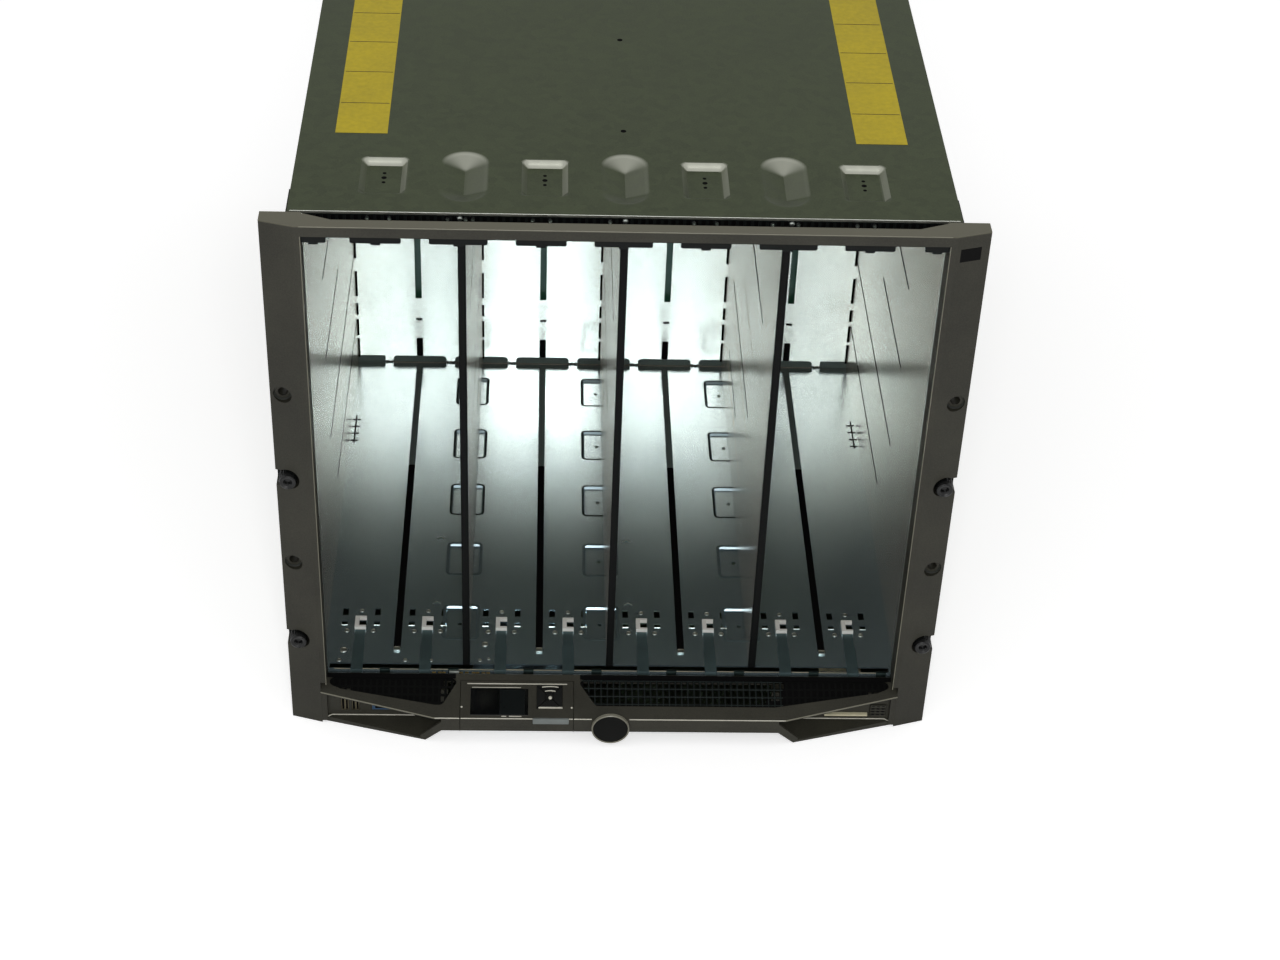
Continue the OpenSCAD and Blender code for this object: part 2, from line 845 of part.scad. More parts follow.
module left_grille_outline(grow) {
    mirror([1, 0, 0]) grille_outline(3.5 - lcd_left, 12 - lcd_left, grow);
}

module right_grille_outline(grow) {
    grille_outline(lcd_right + 5, lcd_right + 15, grow);
}

// A low ledge in front of the recess, and the fin that leads from its tip up to the end of the front bar.
module wing() {
    intersection() {
        translate([0, 0, -1]) linear_extrude(wing_h + 2) polygon([
            [nose_half, -wing_root_y],
            [wing_tip_x, -wing_tip_y],
            [bar_end, -wing_tip_y + ridge_z / 2],
            [fin_in, tiny - recess_y],
            [nose_half, tiny - recess_y]
        ]);
        translate([fin_in - 1, 0, 0]) along_x(nose_half) polygon([
            [1 - recess_y, sheet_t],
            [1 - recess_y, wing_h],
            [-recess_y, wing_h],
            [-wing_tip_y, sheet_t + fit_gap],
            [-wing_tip_y, 0],
            [-pan_front - fit_gap, 0],
            [-pan_front - fit_gap, sheet_t]
        ]);
        upright(-wing_tip_y - 1, wing_tip_y) polygon([
            [fin_in - 1, -1],
            [fin_in - 1, 2 * wing_h],
            [nose_half - 2 * wing_h, 2 * wing_h],
            [nose_half + 1, -1]
        ]);
    }
    intersection() {
        upright(-ridge_y - 1, fin_w + 1) polygon([
            [fin_in, face_z],
            [fin_in, ridge_z - 1],
            [bar_end, ridge_z - 1],
            [bar_end, ridge_z - nose_t * 2],
            [wing_tip_x + 3.5, 3.2],
            [wing_tip_x + 1, 0],
            [wing_tip_x - 0.5, 0],
            [bar_end, face_z]
        ]);
        linear_extrude(ridge_z) polygon([
            [fin_in, -ridge_y],
            [bar_end, -ridge_y],
            [wing_tip_x + 4, 1 - wing_tip_y],
            [wing_tip_x + 4, 1 + nose_t - wing_tip_y],
            [bar_end, nose_t - ridge_y],
            [fin_in, nose_t - ridge_y]
        ]);
    }
}

module lower_bezel() {
    color("#3b3d36") difference() {
        union() {
            on_slope() translate([0, 0, -nose_t]) linear_extrude(nose_t) nose_outline();
            block([-bar_end, -ridge_y - join, face_z], [bar_end, nose_t - ridge_y, ridge_z - join]);
            block([-nose_half, 1 - lip_y, lip_z - 1 - lip_h],
                  [nose_half, -floor_front - finger_t - 2 * fit_gap, lip_z - 0.7]);
            both_sides() {
                wing();
                block([fin_in, -recess_y, sheet_t], [nose_half, recess_t - recess_y, recess_top]);
                block([fin_in, -recess_y, recess_top - recess_t], [nose_half, -lip_y + 2, recess_top]);
            }
            tag_guide();
        }
        on_slope() translate([0, 0, -nose_t - 1]) linear_extrude(nose_t + 2) {
            left_grille_outline(0);
            right_grille_outline(0);
        }
        translate([lcd_left - lcd_gap, 0, 0]) along_x(lcd_w + 2 * lcd_gap) polygon([
            slope_point(lcd_s - lcd_gap, 1),
            slope_point(lcd_s - lcd_gap, -nose_t - 1),
            [-ridge_y + 2 * nose_t, face_z],
            [-ridge_y + 2 * nose_t, sheet_t],
            [-ridge_y - 1, sheet_t],
            [-ridge_y - 1, ridge_z + 2]
        ]);
        port_windows();
        translate([0, -ridge_y - 1, badge_z]) rotate([-90, 0, 0]) cylinder(r = badge_pin_r, h = nose_t + 2);
    }
}

// The channel that the information tag slides in, behind its slot.
module tag_guide() {
    block([tag_x - tag_w / 2 - tag_wall, recess_t - recess_y - tiny, sheet_t],
          [tag_x + tag_w / 2 + tag_wall, tag_guide_l - recess_y, tag_z + tag_t + tag_wall]);
}

// A window through the recess wall, given by its middle, its size and its lower edge.
module window(x, w, z, h, depth) {
    block([x - w / 2, -recess_y - 1, z], [x + w / 2, depth - recess_y + 1, z + h]);
}

module port_windows() {
    for (x = usb_x)
        window(-x, usb_w, port_z, usb_h, recess_t);
    window(-vga_x, vga_w, port_z, vga_h, recess_t);
    window(tag_x, tag_w + 2 * tray_gap, tag_z - tray_gap, tag_t + 2 * tray_gap, tag_guide_l);
    window(power_x, power_w + 2 * key_gap, power_z - power_h / 2 - key_gap, power_h + 2 * key_gap, recess_t);
}

module grille_mesh() {
    columns = ceil(nose_half / grille_pitch);
    for (i = [-columns:columns])
        for (j = [0:2])
            translate([i * grille_pitch, -5.5 - j * grille_row])
                square([grille_pitch - grille_bar, grille_row - grille_bar], center = true);
}

module air_grilles() {
    color("#101210") on_slope() translate([0, 0, -nose_t - grille_t]) {
        linear_extrude(grille_t) difference() {
            left_grille_outline(grille_rim);
            intersection() {
                grille_mesh();
                left_grille_outline(-grille_rim);
            }
        }
        linear_extrude(grille_t) difference() {
            right_grille_outline(grille_rim);
            intersection() {
                grille_mesh();
                right_grille_outline(-grille_rim);
            }
        }
    }
}

module bezel_badge() {
    color("#22231f") translate([0, -ridge_y - join, badge_z]) rotate([90, 0, 0]) {
        difference() {
            cylinder(r = badge_r, h = badge_t);
            translate([0, 0, badge_t - 0.6]) cylinder(r = badge_r - 1.4, h = 1);
        }
        translate([0, 0, -nose_t]) cylinder(r = badge_pin_r, h = nose_t + tiny);
    }
}

// A socket's shell in a window of the recess wall.
module socket(x, w, h) {
    block([x - w / 2 + port_gap, -recess_y, port_z + port_gap],
          [x + w / 2 - port_gap, port_board_y + tiny, port_z + h - port_gap]);
}

// A contact carrier stands in the middle of each upright socket.
module upright_socket(x) {
    wall = port_gap + port_wall;
    mouth = [port_z + wall, port_z + usb_h - wall];
    difference() {
        socket(x, usb_w, usb_h);
        block([x - usb_w / 2 + wall, -recess_y - 1, mouth[0]],
              [x - port_wall, port_board_y - 2, mouth[1]]);
        block([x + 1.5 * port_wall, -recess_y - 1, mouth[0]],
              [x + usb_w / 2 - wall, port_board_y - 2, mouth[1]]);
    }
}

// The sockets and the power switch stand on two small circuit boards behind the recess.
module front_ports() {
    color("#1f4a30") {
        block([-port_board_x[1], port_board_y, sheet_t],
              [-port_board_x[0], port_board_y + port_board_t, recess_top - recess_t]);
        block([power_x - power_w / 2 + 1, port_board_y, sheet_t],
              [power_x + power_w / 2, port_board_y + port_board_t, recess_top - recess_t]);
    }
    color("#8d9294")
        for (x = usb_x)
            upright_socket(-x);
    color("#202224")
        block([power_x - power_switch / 2, port_board_y - power_switch / 2, power_z - power_switch / 2],
              [power_x + power_switch / 2, port_board_y + tiny, power_z + power_switch / 2]);
    color("#24408c") socket(-vga_x, vga_w, vga_h);
}

// ---------- display module ----------

module lcd_outline() {
    translate([lcd_left, -slope_l]) square([lcd_w, slope_l - lcd_s]);
}

module tilt_axis() {
    translate([0, -tilt_y, tilt_z]) rotate([0, 90, 0]) children();
}

module lcd_housing() {
    color("#3b3d36") difference() {
        union() {
            on_slope() translate([0, 0, -lcd_t]) linear_extrude(lcd_t) lcd_outline();
            block([lcd_left, -ridge_y, face_z], [lcd_right, -ridge_y + nose_t, ridge_z]);
            for (x = lug_x) {
                translate([x, 0, 0]) tilt_axis() cylinder(r = lug_r, h = lug_w);
                block([x, -ridge_y + tiny, tilt_z - 1], [x + lug_w, -tilt_y + 1, ridge_z - 1]);
            }
        }
        translate([lcd_left - 1, 0, 0]) tilt_axis() cylinder(r = tilt_pin_r + pin_gap, h = lcd_w + 2);
        on_slope() {
            translate([screen_mid, -screen_s, -1]) linear_extrude(2)
                square([screen_w, screen_h], center = true);
            translate([keys_mid, -keys_s, -key_deep]) linear_extrude(key_deep + 1)
                square(pad_size + 2 * key_gap, center = true);
        }
    }
}

module lcd_window() {
    color([0.02, 0.03, 0.04]) on_slope() translate([screen_mid, -screen_s, -1])
        linear_extrude(0.9) square([screen_w - 0.2, screen_h - 0.2], center = true);
}

// One of the four keys around the select key; turn is its place around the group.
module scroll_key(turn) {
    half = pad_size / 2;
    on_slope() translate([keys_mid, -keys_s, key_floor - key_deep]) rotate([0, 0, turn])
        linear_extrude(key_deep - key_floor + key_rise) difference() {
            polygon([
                [-half + key_gap, half],
                [half - key_gap, half],
                [key_gap, key_gap * 2],
                [-key_gap, key_gap * 2]
            ]);
            circle(select_r + key_gap);
        }
}

module key_up() {
    color("#2a2c2a") scroll_key(0);
}

module key_left() {
    color("#2a2c2a") scroll_key(90);
}

module key_down() {
    color("#2a2c2a") scroll_key(180);
}

module key_right() {
    color("#2a2c2a") scroll_key(270);
}

module key_select() {
    color("#c8ccce") on_slope() translate([keys_mid, -keys_s, key_floor - key_deep])
        cylinder(r = select_r, h = key_deep - key_floor + key_rise);
}

// The tray slides in the space under the bay floor; its ears hold the tilt pin.
module lcd_tray() {
    color("#6f7674") {
        block([lcd_left + tray_inset, -tilt_y + ear_reach, tray_z],
              [lcd_right - tray_inset, tray_l - tilt_y, tray_z + tray_t]);
        for (x = ear_x) {
            translate([x, 0, 0]) tilt_axis() cylinder(r = ear_r, h = ear_thick);
            block([x, -tilt_y, tilt_z - ear_r], [x + ear_thick, ear_root, tilt_z + ear_r]);
            block([x, -tilt_y + ear_reach, tray_z], [x + ear_thick, ear_root, tilt_z]);
        }
        translate([ear_x[0], 0, 0]) tilt_axis()
            cylinder(r = tilt_pin_r, h = ear_x[1] - ear_x[0] + ear_thick);
    }
}

// ---------- other front controls ----------

// The button's ribbed face stands in its window, and a taller flange behind the wall holds it.
module power_button() {
    rear = recess_t - recess_y + 0.1;
    color("#2c2e2c") difference() {
        union() {
            block([power_x - power_w / 2, -recess_y - power_out, power_z - power_h / 2],
                  [power_x + power_w / 2, rear + power_flange, power_z + power_h / 2]);
            block([power_x - power_w / 2, rear, power_z - power_h / 2 - power_flange],
                  [power_x + power_w / 2, rear + power_flange, power_z + power_h / 2 + power_flange]);
        }
        for (z = [power_z - power_h / 2 + power_rib:2 * power_rib:power_z + power_h / 2 - power_rib])
            block([power_x - power_w / 2 - 1, -recess_y - power_out - 1, z],
                  [power_x + power_w / 2 + 1, power_rib / 2 - recess_y - power_out, z + power_rib]);
    }
}

module info_tag() {
    color("#d8dbd6") block([tag_x - tag_w / 2, -recess_y - tag_out, tag_z],
                           [tag_x + tag_w / 2, tag_l - recess_y - tag_out, tag_z + tag_t]);
}

// ---------- rear ----------

module rear_frame() {
    color("#6c736c") {
        block([-inner_half, frame_y, shelf_z], [inner_half, body_d - rear_inset, upper_z]);
        for (x = [wall_1, wall_2])
            both_sides()
                block([x, frame_y, upper_z - tiny], [x + inner_t, body_d - rear_inset, cover_z]);
        for (k = [-2:2])
            block([k * psu_pitch - inner_t / 2, psu_y, sheet_t],
                  [k * psu_pitch + inner_t / 2, body_d - 2 * rear_inset, sheet_t + rib_h]);
    }
}

// A thin-walled module box that is open towards the front of the enclosure.
module open_box(low, high, t) {
    difference() {
        block(low, high);
        block(low + [t, -1, t], high - [t, t, t]);
    }
}

module rear_blank(x, w, z, h) {
    open_box([x + fit_gap, body_d - rear_inset - blank_d, z],
             [x + w - fit_gap, body_d - rear_inset, z + h],
             inner_t);
}

module rear_blanks() {
    color("#7d837c")
        both_sides() {
            for (k = [0:2])
                rear_blank(io_x + k * io_w, io_w, upper_z + rear_gap, io_h);
            rear_blank(io_x, 3 * io_w, controller_z, controller_h);
        }
}

module psu(i) {
    x = (i - 3.5) * psu_pitch;
    rear = body_d - rear_inset;
    low = [x - psu_w / 2, psu_y, sheet_t + psu_gap];
    high = [x + psu_w / 2, rear, psu_top];
    mid_z = sheet_t + psu_gap + psu_h / 2;
    color("#787e7a") difference() {
        union() {
            open_box(low, high, inner_t);
            psu_handle(x, rear, mid_z - psu_handle_h / 2 - psu_gap);
        }
        for (a = [-4:4])
            for (b = [1:6])
                translate([x + a * psu_vent_step[0], rear, mid_z + b * psu_vent_step[1]])
                    cube(psu_vent, center = true);
        translate([x, rear, low[2] + psu_inlet[2]])
            cube([psu_inlet[0], 2 * psu_inlet[1], psu_inlet[2]], center = true);
    }
}

// A bent strip that a hand pulls the power supply out with.
module psu_handle(x, y, z) {
    half = psu_handle_h / 2;
    translate([x - psu_handle_w / 2, y, z]) difference() {
        block([0, -tiny, -half], [psu_handle_w, psu_handle_out, half]);
        block([-1, -1, psu_handle_t - half],
              [psu_handle_w + 1, psu_handle_out - psu_handle_t, half - psu_handle_t]);
    }
}

function fan_place(i) = [
    (floor((i - 1) / 3) - 1) * fan_x,
    fan_y,
    fan_z0 + ((i - 1) % 3) * fan_pitch
];

module fan_module(i) {
    color("#202321") translate(fan_place(i)) {
        difference() {
            block([-fan_w / 2, 0, -fan_h / 2], [fan_w / 2, fan_d, fan_h / 2]);
            block([sheet_t - fan_w / 2, -1, sheet_t - fan_h / 2],
                  [fan_w / 2 - sheet_t, fan_d - guard_t, fan_h / 2 - sheet_t]);
            translate([0, fan_d - guard_t - 1, 0]) rotate([-90, 0, 0])
                cylinder(r = rotor_r + ring_gap, h = guard_t + 2);
        }
        translate([0, fan_d, 0]) rotate([90, 0, 0]) {
            ring(rotor_r + ring_gap, ring_t, ring_l);
            for (r = guard_r)
                ring(r - guard_t / 2, guard_t, guard_t);
            for (a = [0:45:315])
                rotate([0, 0, a]) translate([motor_r - 1, -guard_t / 2, 0])
                    cube([rotor_r - motor_r + ring_gap + 2 * tiny + 1, guard_t, guard_t]);
            cylinder(r = motor_r, h = rotor_back - 1);
            cylinder(r = shaft_r, h = rotor_back + rotor_l);
        }
    }
}

module ring(r, t, h) {
    difference() {
        cylinder(r = r + t, h = h);
        translate([0, 0, -1]) cylinder(r = r, h = h + 2);
    }
}

// One blade: a slice of a tube that lies along the radius, turned to its pitch.
module fan_blade() {
    rotate([0, 90, 0]) linear_extrude(rotor_r) rotate(-blade_pitch) translate([0, -blade_arc_r])
        intersection() {
        difference() {
            circle(blade_arc_r);
            circle(blade_arc_r - blade_t);
        }
        translate([-blade_arc_r / 2.4, blade_arc_r / 2]) square([blade_arc_r / 1.2, blade_arc_r]);
    }
}

module fan_rotor(i) {
    color("#2b2e2c") translate(fan_place(i)) translate([0, fan_d - rotor_back, 0]) rotate([90, 0, 0])
        difference() {
            union() {
                cylinder(r = hub_r, h = rotor_l);
                intersection() {
                    for (a = [0:360 / blade_count:359])
                        rotate([0, 0, a]) translate([0, 0, rotor_l / 2]) fan_blade();
                    translate([0, 0, 0.5]) cylinder(r = rotor_r, h = rotor_l - 1);
                }
            }
            translate([0, 0, -1]) cylinder(r = shaft_r + pin_gap, h = rotor_l + 2);
        }
}

// ---------- the sub-parts ----------

bottom_pan();
left_side_panel();
right_side_panel();
top_cover();
bay_side_liners();
bay_floor();
bay_back_panel();
divider_left();
divider_centre();
divider_right();
midplane_board();
spring_fingers();
keying_clips();
rack_ears();
front_bezel();
top_intake_strip();
lower_bezel();
air_grilles();
bezel_badge();
front_ports();
lcd_tray();
lcd_housing();
lcd_window();
key_up();
key_down();
key_left();
key_right();
key_select();
power_button();
info_tag();
for (i = [1:4])
    thumbscrew(i);
rear_frame();
rear_blanks();
for (i = [1:6])
    psu(i);
for (i = [1:9])
    fan_module(i);
for (i = [1:9])
    fan_rotor(i);
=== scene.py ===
"""Looks of a ten-unit blade server chassis: its sheets, mouldings, small hardware and stage."""

import math

import bmesh
import bpy
from mathutils import Matrix, Vector


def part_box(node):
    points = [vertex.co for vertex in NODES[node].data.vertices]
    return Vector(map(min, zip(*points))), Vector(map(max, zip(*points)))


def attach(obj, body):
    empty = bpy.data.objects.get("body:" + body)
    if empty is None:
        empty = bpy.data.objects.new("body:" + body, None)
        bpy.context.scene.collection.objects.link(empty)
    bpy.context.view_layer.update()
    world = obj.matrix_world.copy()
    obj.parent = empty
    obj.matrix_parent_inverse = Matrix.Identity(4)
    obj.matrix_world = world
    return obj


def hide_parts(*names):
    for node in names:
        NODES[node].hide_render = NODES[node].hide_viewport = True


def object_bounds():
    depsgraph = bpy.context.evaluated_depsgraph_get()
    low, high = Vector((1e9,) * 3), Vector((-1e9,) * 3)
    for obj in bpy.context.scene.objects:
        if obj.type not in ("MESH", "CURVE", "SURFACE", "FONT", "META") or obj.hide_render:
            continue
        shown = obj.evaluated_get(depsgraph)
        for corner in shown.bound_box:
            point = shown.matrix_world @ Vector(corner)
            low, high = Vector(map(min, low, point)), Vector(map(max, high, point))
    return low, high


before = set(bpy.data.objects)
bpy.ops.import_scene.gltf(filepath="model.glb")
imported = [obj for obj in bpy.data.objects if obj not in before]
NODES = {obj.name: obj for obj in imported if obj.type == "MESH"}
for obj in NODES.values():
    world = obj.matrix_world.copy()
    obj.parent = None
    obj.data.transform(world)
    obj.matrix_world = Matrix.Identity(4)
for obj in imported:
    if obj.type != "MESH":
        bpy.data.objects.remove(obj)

bl_info = {
    "name": "Blade server chassis",
    "version": (1, 0, 0),
    "blender": (4, 5, 0),
    "location": "View3D > Sidebar > Chassis",
    "description": "Dresses the packed blade server chassis and sets its stage",
    "category": "Object",
}

MM = 0.001
CAD_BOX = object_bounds()


def node_box(name):
    """Lowest and highest corner of a frame node, in millimetres."""
    low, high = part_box(name)
    return low / MM, high / MM


# ---------- places that repeat the part's own values, in millimetres ----------

FLOOR_Z = 40
BACK_Y = 402
BODY_H = 440.5
PITCH = 54.3
HALF_BAY = 217.2
OPENING_HALF = 214
BAR_FRONT = 20
BAR_BOTTOM, BAR_TOP = 433, 441
LIP_Y, LIP_Z = 8, 38
RIDGE_Y, RIDGE_Z = 42, 25.5
RIDGE_HALF = 132
RIDGE_END_Y = 22.5
NOSE_HALF = 218
RECESS_Y = 16
WING_H = 4.5
LCD_LEFT, LCD_RIGHT = -113, -28
BADGE_Z, BADGE_R = 17.5, 14.2
KEYS_X, KEYS_S = -45.5, 17.3
EAR_EDGE = 241.3
COLUMN_EDGE_Y = 13
HOLE_SINK = 2.5
HOLE_INSET = 8.75
HOLE_HEIGHTS = (153.5, 302.7)
EAR_T = 2
KNOB_LENGTH, SHANK_R = 18, 3
DIVIDERS = ("divider_left", "divider_centre", "divider_right")

SIDES = (-1, 1)
MID_BAYS = [k * PITCH for k in (-3, -1, 1, 3)]
DIVIDER_XS = [k * PITCH for k in (-2, 0, 2)]
LATCHES = [x - 3.6 + side * 25.8 for x in MID_BAYS for side in SIDES]
SLOPE = math.atan2(LIP_Z - RIDGE_Z, RIDGE_Y - LIP_Y)
UPWARD = (0, 0, 1)

# ---------- places of what is drawn or set here, in millimetres ----------

# Front, back and height of the long slits in the dividers and in the liners.
DIVIDER_SLITS = ((90, 262, 297), (143, 338, 173), (240, 337, 103))
LINER_SLITS = ((136, 262, 298.8), (130, 254, 231.8), (134, 399, 154.8), (171, 399, 88))
# Lower and upper ends of the slots in the back panel's corners.
CORNER_SLOTS = [(45, 65), (68, 85), (90, 102), (109, 135)]
CORNER_SLOTS += [(z, z + 27) for z in range(148, 400, 39)]
# Half width and depth of the guide channels, and where their shade grows lighter.
CHANNEL_HALF, CHANNEL_DEEP, CHANNEL_SHADE_Y = 3.4, 3, 255
# Pressings along the cover's front: rectangular pads and V-shaped grooves in turn.
PRESSED_BAND, PRESS_Y = 92, 48
PAD_HALF_X, PAD_HALF_Y, PAD_DEPTH = 16.3, 24, 4
PAD_WALL_X, PAD_WALL_Y = 5.2, 5.6
GROOVE_R, GROOVE_DEPTH, GROOVE_STEEPNESS = 16.5, 5.8, 8
COVER_SHEET = 1.5
# Centre and front end of the two rows of labels on the cover.
LABEL_ROWS = ((-181.5, 104), (180, 101))
# Radius of the fine bright lines along folded and moulded edges, most of them painted highlights, and
# how far they are sunk.
LINE_R, LINE_SINK = 0.45, 0.35
# How far the shade drawn on a sheet stands proud of it.
PROUD = 0.06


def slope_place(x, s, h=0.0):
    """A frame on the lower bezel's sloped top: s down from its rear edge, h above it."""
    point = (x, -LIP_Y - s * math.cos(SLOPE) - h * math.sin(SLOPE),
             LIP_Z - s * math.sin(SLOPE) + h * math.cos(SLOPE))
    return Matrix.Translation(point) @ Matrix.Rotation(SLOPE, 4, "X")


def srgb(r, g, b):
    """Linear colour from display values between 0 and 255."""
    def lin(c):
        c /= 255
        return c / 12.92 if c <= 0.04045 else ((c + 0.055) / 1.055) ** 2.4
    return (lin(r), lin(g), lin(b), 1.0)


def scaled(colour, k):
    """The colour made lighter or darker."""
    return (*(min(1.0, c * k) for c in colour[:3]), 1.0)


# ---------- sizes and colours that a user may change ----------


class ChassisFinish(bpy.types.PropertyGroup):
    """Colours and roughness of the chassis's own finishes."""

    bezel_colour: bpy.props.FloatVectorProperty(
        name="Bezel plastic", description="Colour of the textured bezel mouldings",
        default=srgb(48, 47, 39), size=4, subtype="COLOR", min=0, max=1)
    cover_colour: bpy.props.FloatVectorProperty(
        name="Cover steel", description="Colour of the zinc-coated outer sheets",
        default=srgb(86, 94, 72), size=4, subtype="COLOR", min=0, max=1)
    liner_colour: bpy.props.FloatVectorProperty(
        name="Bay steel", description="Colour of the bright sheets inside the bays",
        default=srgb(222, 214, 203), size=4, subtype="COLOR", min=0, max=1)
    floor_colour: bpy.props.FloatVectorProperty(
        name="Bay floor steel", description="Colour of the bay floor",
        default=srgb(174, 195, 203), size=4, subtype="COLOR", min=0, max=1)
    label_colour: bpy.props.FloatVectorProperty(
        name="Cover label", description="Colour of the two blank labels on the cover",
        default=srgb(186, 166, 12), size=4, subtype="COLOR", min=0, max=1)
    steel_roughness: bpy.props.FloatProperty(
        name="Steel roughness", description="Roughness of the bright bay sheets",
        default=0.26, min=0.05, max=1, subtype="FACTOR")
    spangle_size: bpy.props.FloatProperty(
        name="Spangle size", description="Size of the zinc crystals on the outer sheets",
        default=0.006, min=0.001, max=0.03, unit="LENGTH")


class HardwareSizes(bpy.types.PropertyGroup):
    """Sizes of the small hardware that is made here."""

    knurl_count: bpy.props.IntProperty(
        name="Knurls", description="Number of ribs round a thumbscrew's knob",
        default=28, min=12, max=60)
    screw_head: bpy.props.FloatProperty(
        name="Screw head radius", description="Radius of the small cover screws",
        default=0.0026, min=0.001, max=0.006, unit="LENGTH")
    rivet_head: bpy.props.FloatProperty(
        name="Rivet head radius", description="Radius of the rivets in the bay floor",
        default=0.0022, min=0.001, max=0.006, unit="LENGTH")
    label_width: bpy.props.FloatProperty(
        name="Label width", description="Width of the two blank labels on the cover",
        default=0.036, min=0.01, max=0.08, unit="LENGTH")


class StageSetup(bpy.types.PropertyGroup):
    """The floor, the lights and the camera."""

    key_power: bpy.props.FloatProperty(
        name="Key light", description="Power of the large light above the camera",
        default=7, min=0, max=500, unit="POWER")
    near_power: bpy.props.FloatProperty(
        name="Near light", description="Power of the small light beside the camera, for the bays",
        default=9.8, min=0, max=500, unit="POWER")
    floor_lift: bpy.props.FloatProperty(
        name="Floor lift", description="How much the floor is lifted to white where it is seen",
        default=0.5, min=0, max=1)
    fill_power: bpy.props.FloatProperty(
        name="Fill light", description="Power of the light at the left",
        default=2, min=0, max=500, unit="POWER")
    low_power: bpy.props.FloatProperty(
        name="Low light", description="Power of the low light in front, for the lower bezel",
        default=3, min=0, max=500, unit="POWER")
    camera_lens: bpy.props.FloatProperty(
        name="Lens", description="Focal length in millimetres on a 36 mm wide sensor",
        default=68.26, min=20, max=200)
    camera_pitch: bpy.props.FloatProperty(
        name="Pitch", description="How far the camera looks down",
        default=math.radians(37.6), subtype="ANGLE")
    camera_yaw: bpy.props.FloatProperty(
        name="Yaw", description="How far the camera looks to the right",
        default=math.radians(2.97), subtype="ANGLE")
    camera_roll: bpy.props.FloatProperty(
        name="Roll", description="How far the camera leans",
        default=math.radians(2.51), subtype="ANGLE")
    camera_place: bpy.props.FloatVectorProperty(
        name="Camera place", description="Where the camera stands",
        default=(-0.055, -1.375, 1.281), size=3, subtype="TRANSLATION", unit="LENGTH")


# ---------- material building blocks ----------

# Numbers of a colour Mix node's sockets: its other kinds have sockets of the same names.
MIX_UNDER, MIX_OVER, MIX_RESULT = 6, 7, 2


class Shade:
    """A new node material with a Principled shader and short ways to add nodes to it."""

    def __init__(self, name, **values):
        self.material = bpy.data.materials.new(name)
        self.material.use_nodes = True
        self.tree = self.material.node_tree
        self.tree.nodes.clear()
        self.bsdf = self.add("ShaderNodeBsdfPrincipled")
        self.join(self.bsdf, "BSDF", self.add("ShaderNodeOutputMaterial"), "Surface")
        self.coords = self.add("ShaderNodeTexCoord")
        for key, value in values.items():
            self.bsdf.inputs[key.replace("_", " ")].default_value = value

    def add(self, kind, **settings):
        """A new node with its settings."""
        node = self.tree.nodes.new(kind)
        for key, value in settings.items():
            setattr(node, key, value)
        return node

    def join(self, a, a_socket, b, b_socket):
        """A link from a's output to b's input."""
        self.tree.links.new(a.outputs[a_socket], b.inputs[b_socket])

    def split(self, kind):
        """The X, Y and Z of the texture coordinates of that kind."""
        node = self.add("ShaderNodeSeparateXYZ")
        self.join(self.coords, kind, node, "Vector")
        return node

    def noise(self, size, detail, rough):
        """Cloudy noise on object coordinates."""
        node = self.add("ShaderNodeTexNoise")
        node.inputs["Scale"].default_value = 1 / size
        node.inputs["Detail"].default_value = detail
        node.inputs["Roughness"].default_value = rough
        self.join(self.coords, "Object", node, "Vector")
        return node

    def cells(self, size):
        """Crystal-like cells on object coordinates."""
        node = self.add("ShaderNodeTexVoronoi", feature="F1")
        node.inputs["Scale"].default_value = 1 / size
        self.join(self.coords, "Object", node, "Vector")
        return node

    def weigh(self, source, socket, weight, rest=None, rest_socket="Value"):
        """A value times its weight, plus the rest's value if there is one."""
        node = self.add("ShaderNodeMath", operation="MULTIPLY_ADD" if rest else "MULTIPLY")
        node.inputs[1].default_value = weight
        self.join(source, socket, node, 0)
        if rest:
            self.join(rest, rest_socket, node, 2)
        return node

    def mean(self, a, a_socket, b, b_socket, share=0.5):
        """Two values in one: b's share, and the rest of a."""
        node = self.add("ShaderNodeMix")
        node.inputs["Factor"].default_value = share
        self.join(a, a_socket, node, "A")
        self.join(b, b_socket, node, "B")
        return node

    def span(self, source, socket, low, high, target, target_socket, start=0.0, end=1.0):
        """Carries a value into an input: start becomes low and end becomes high."""
        node = self.add("ShaderNodeMapRange")
        node.inputs["From Min"].default_value = start
        node.inputs["From Max"].default_value = end
        node.inputs["To Min"].default_value = low
        node.inputs["To Max"].default_value = high
        self.join(source, socket, node, "Value")
        self.join(node, "Result", target, target_socket)

    def two_tone(self, source, socket, dark, light, start=0.35, end=0.65):
        """A colour between dark and light, as the texture says."""
        ramp = self.add("ShaderNodeValToRGB")
        ramp.color_ramp.elements[0].position = start
        ramp.color_ramp.elements[1].position = end
        ramp.color_ramp.elements[0].color = dark
        ramp.color_ramp.elements[1].color = light
        self.join(source, socket, ramp, "Fac")
        return ramp

    def paint(self, ramp, over=None):
        """Gives the surface the ramp's colour; returns the mix that lays a second one over it."""
        if not over:
            self.join(ramp, "Color", self.bsdf, "Base Color")
            return None
        mix = self.add("ShaderNodeMix", data_type="RGBA")
        self.join(ramp, "Color", mix, MIX_UNDER)
        mix.inputs[MIX_OVER].default_value = over
        self.join(mix, MIX_RESULT, self.bsdf, "Base Color")
        return mix

    def bump(self, source, distance, strength):
        """Relief from a noise texture."""
        node = self.add("ShaderNodeBump")
        node.inputs["Strength"].default_value = strength
        node.inputs["Distance"].default_value = distance
        self.join(source, "Fac", node, "Height")
        self.join(node, "Normal", self.bsdf, "Normal")


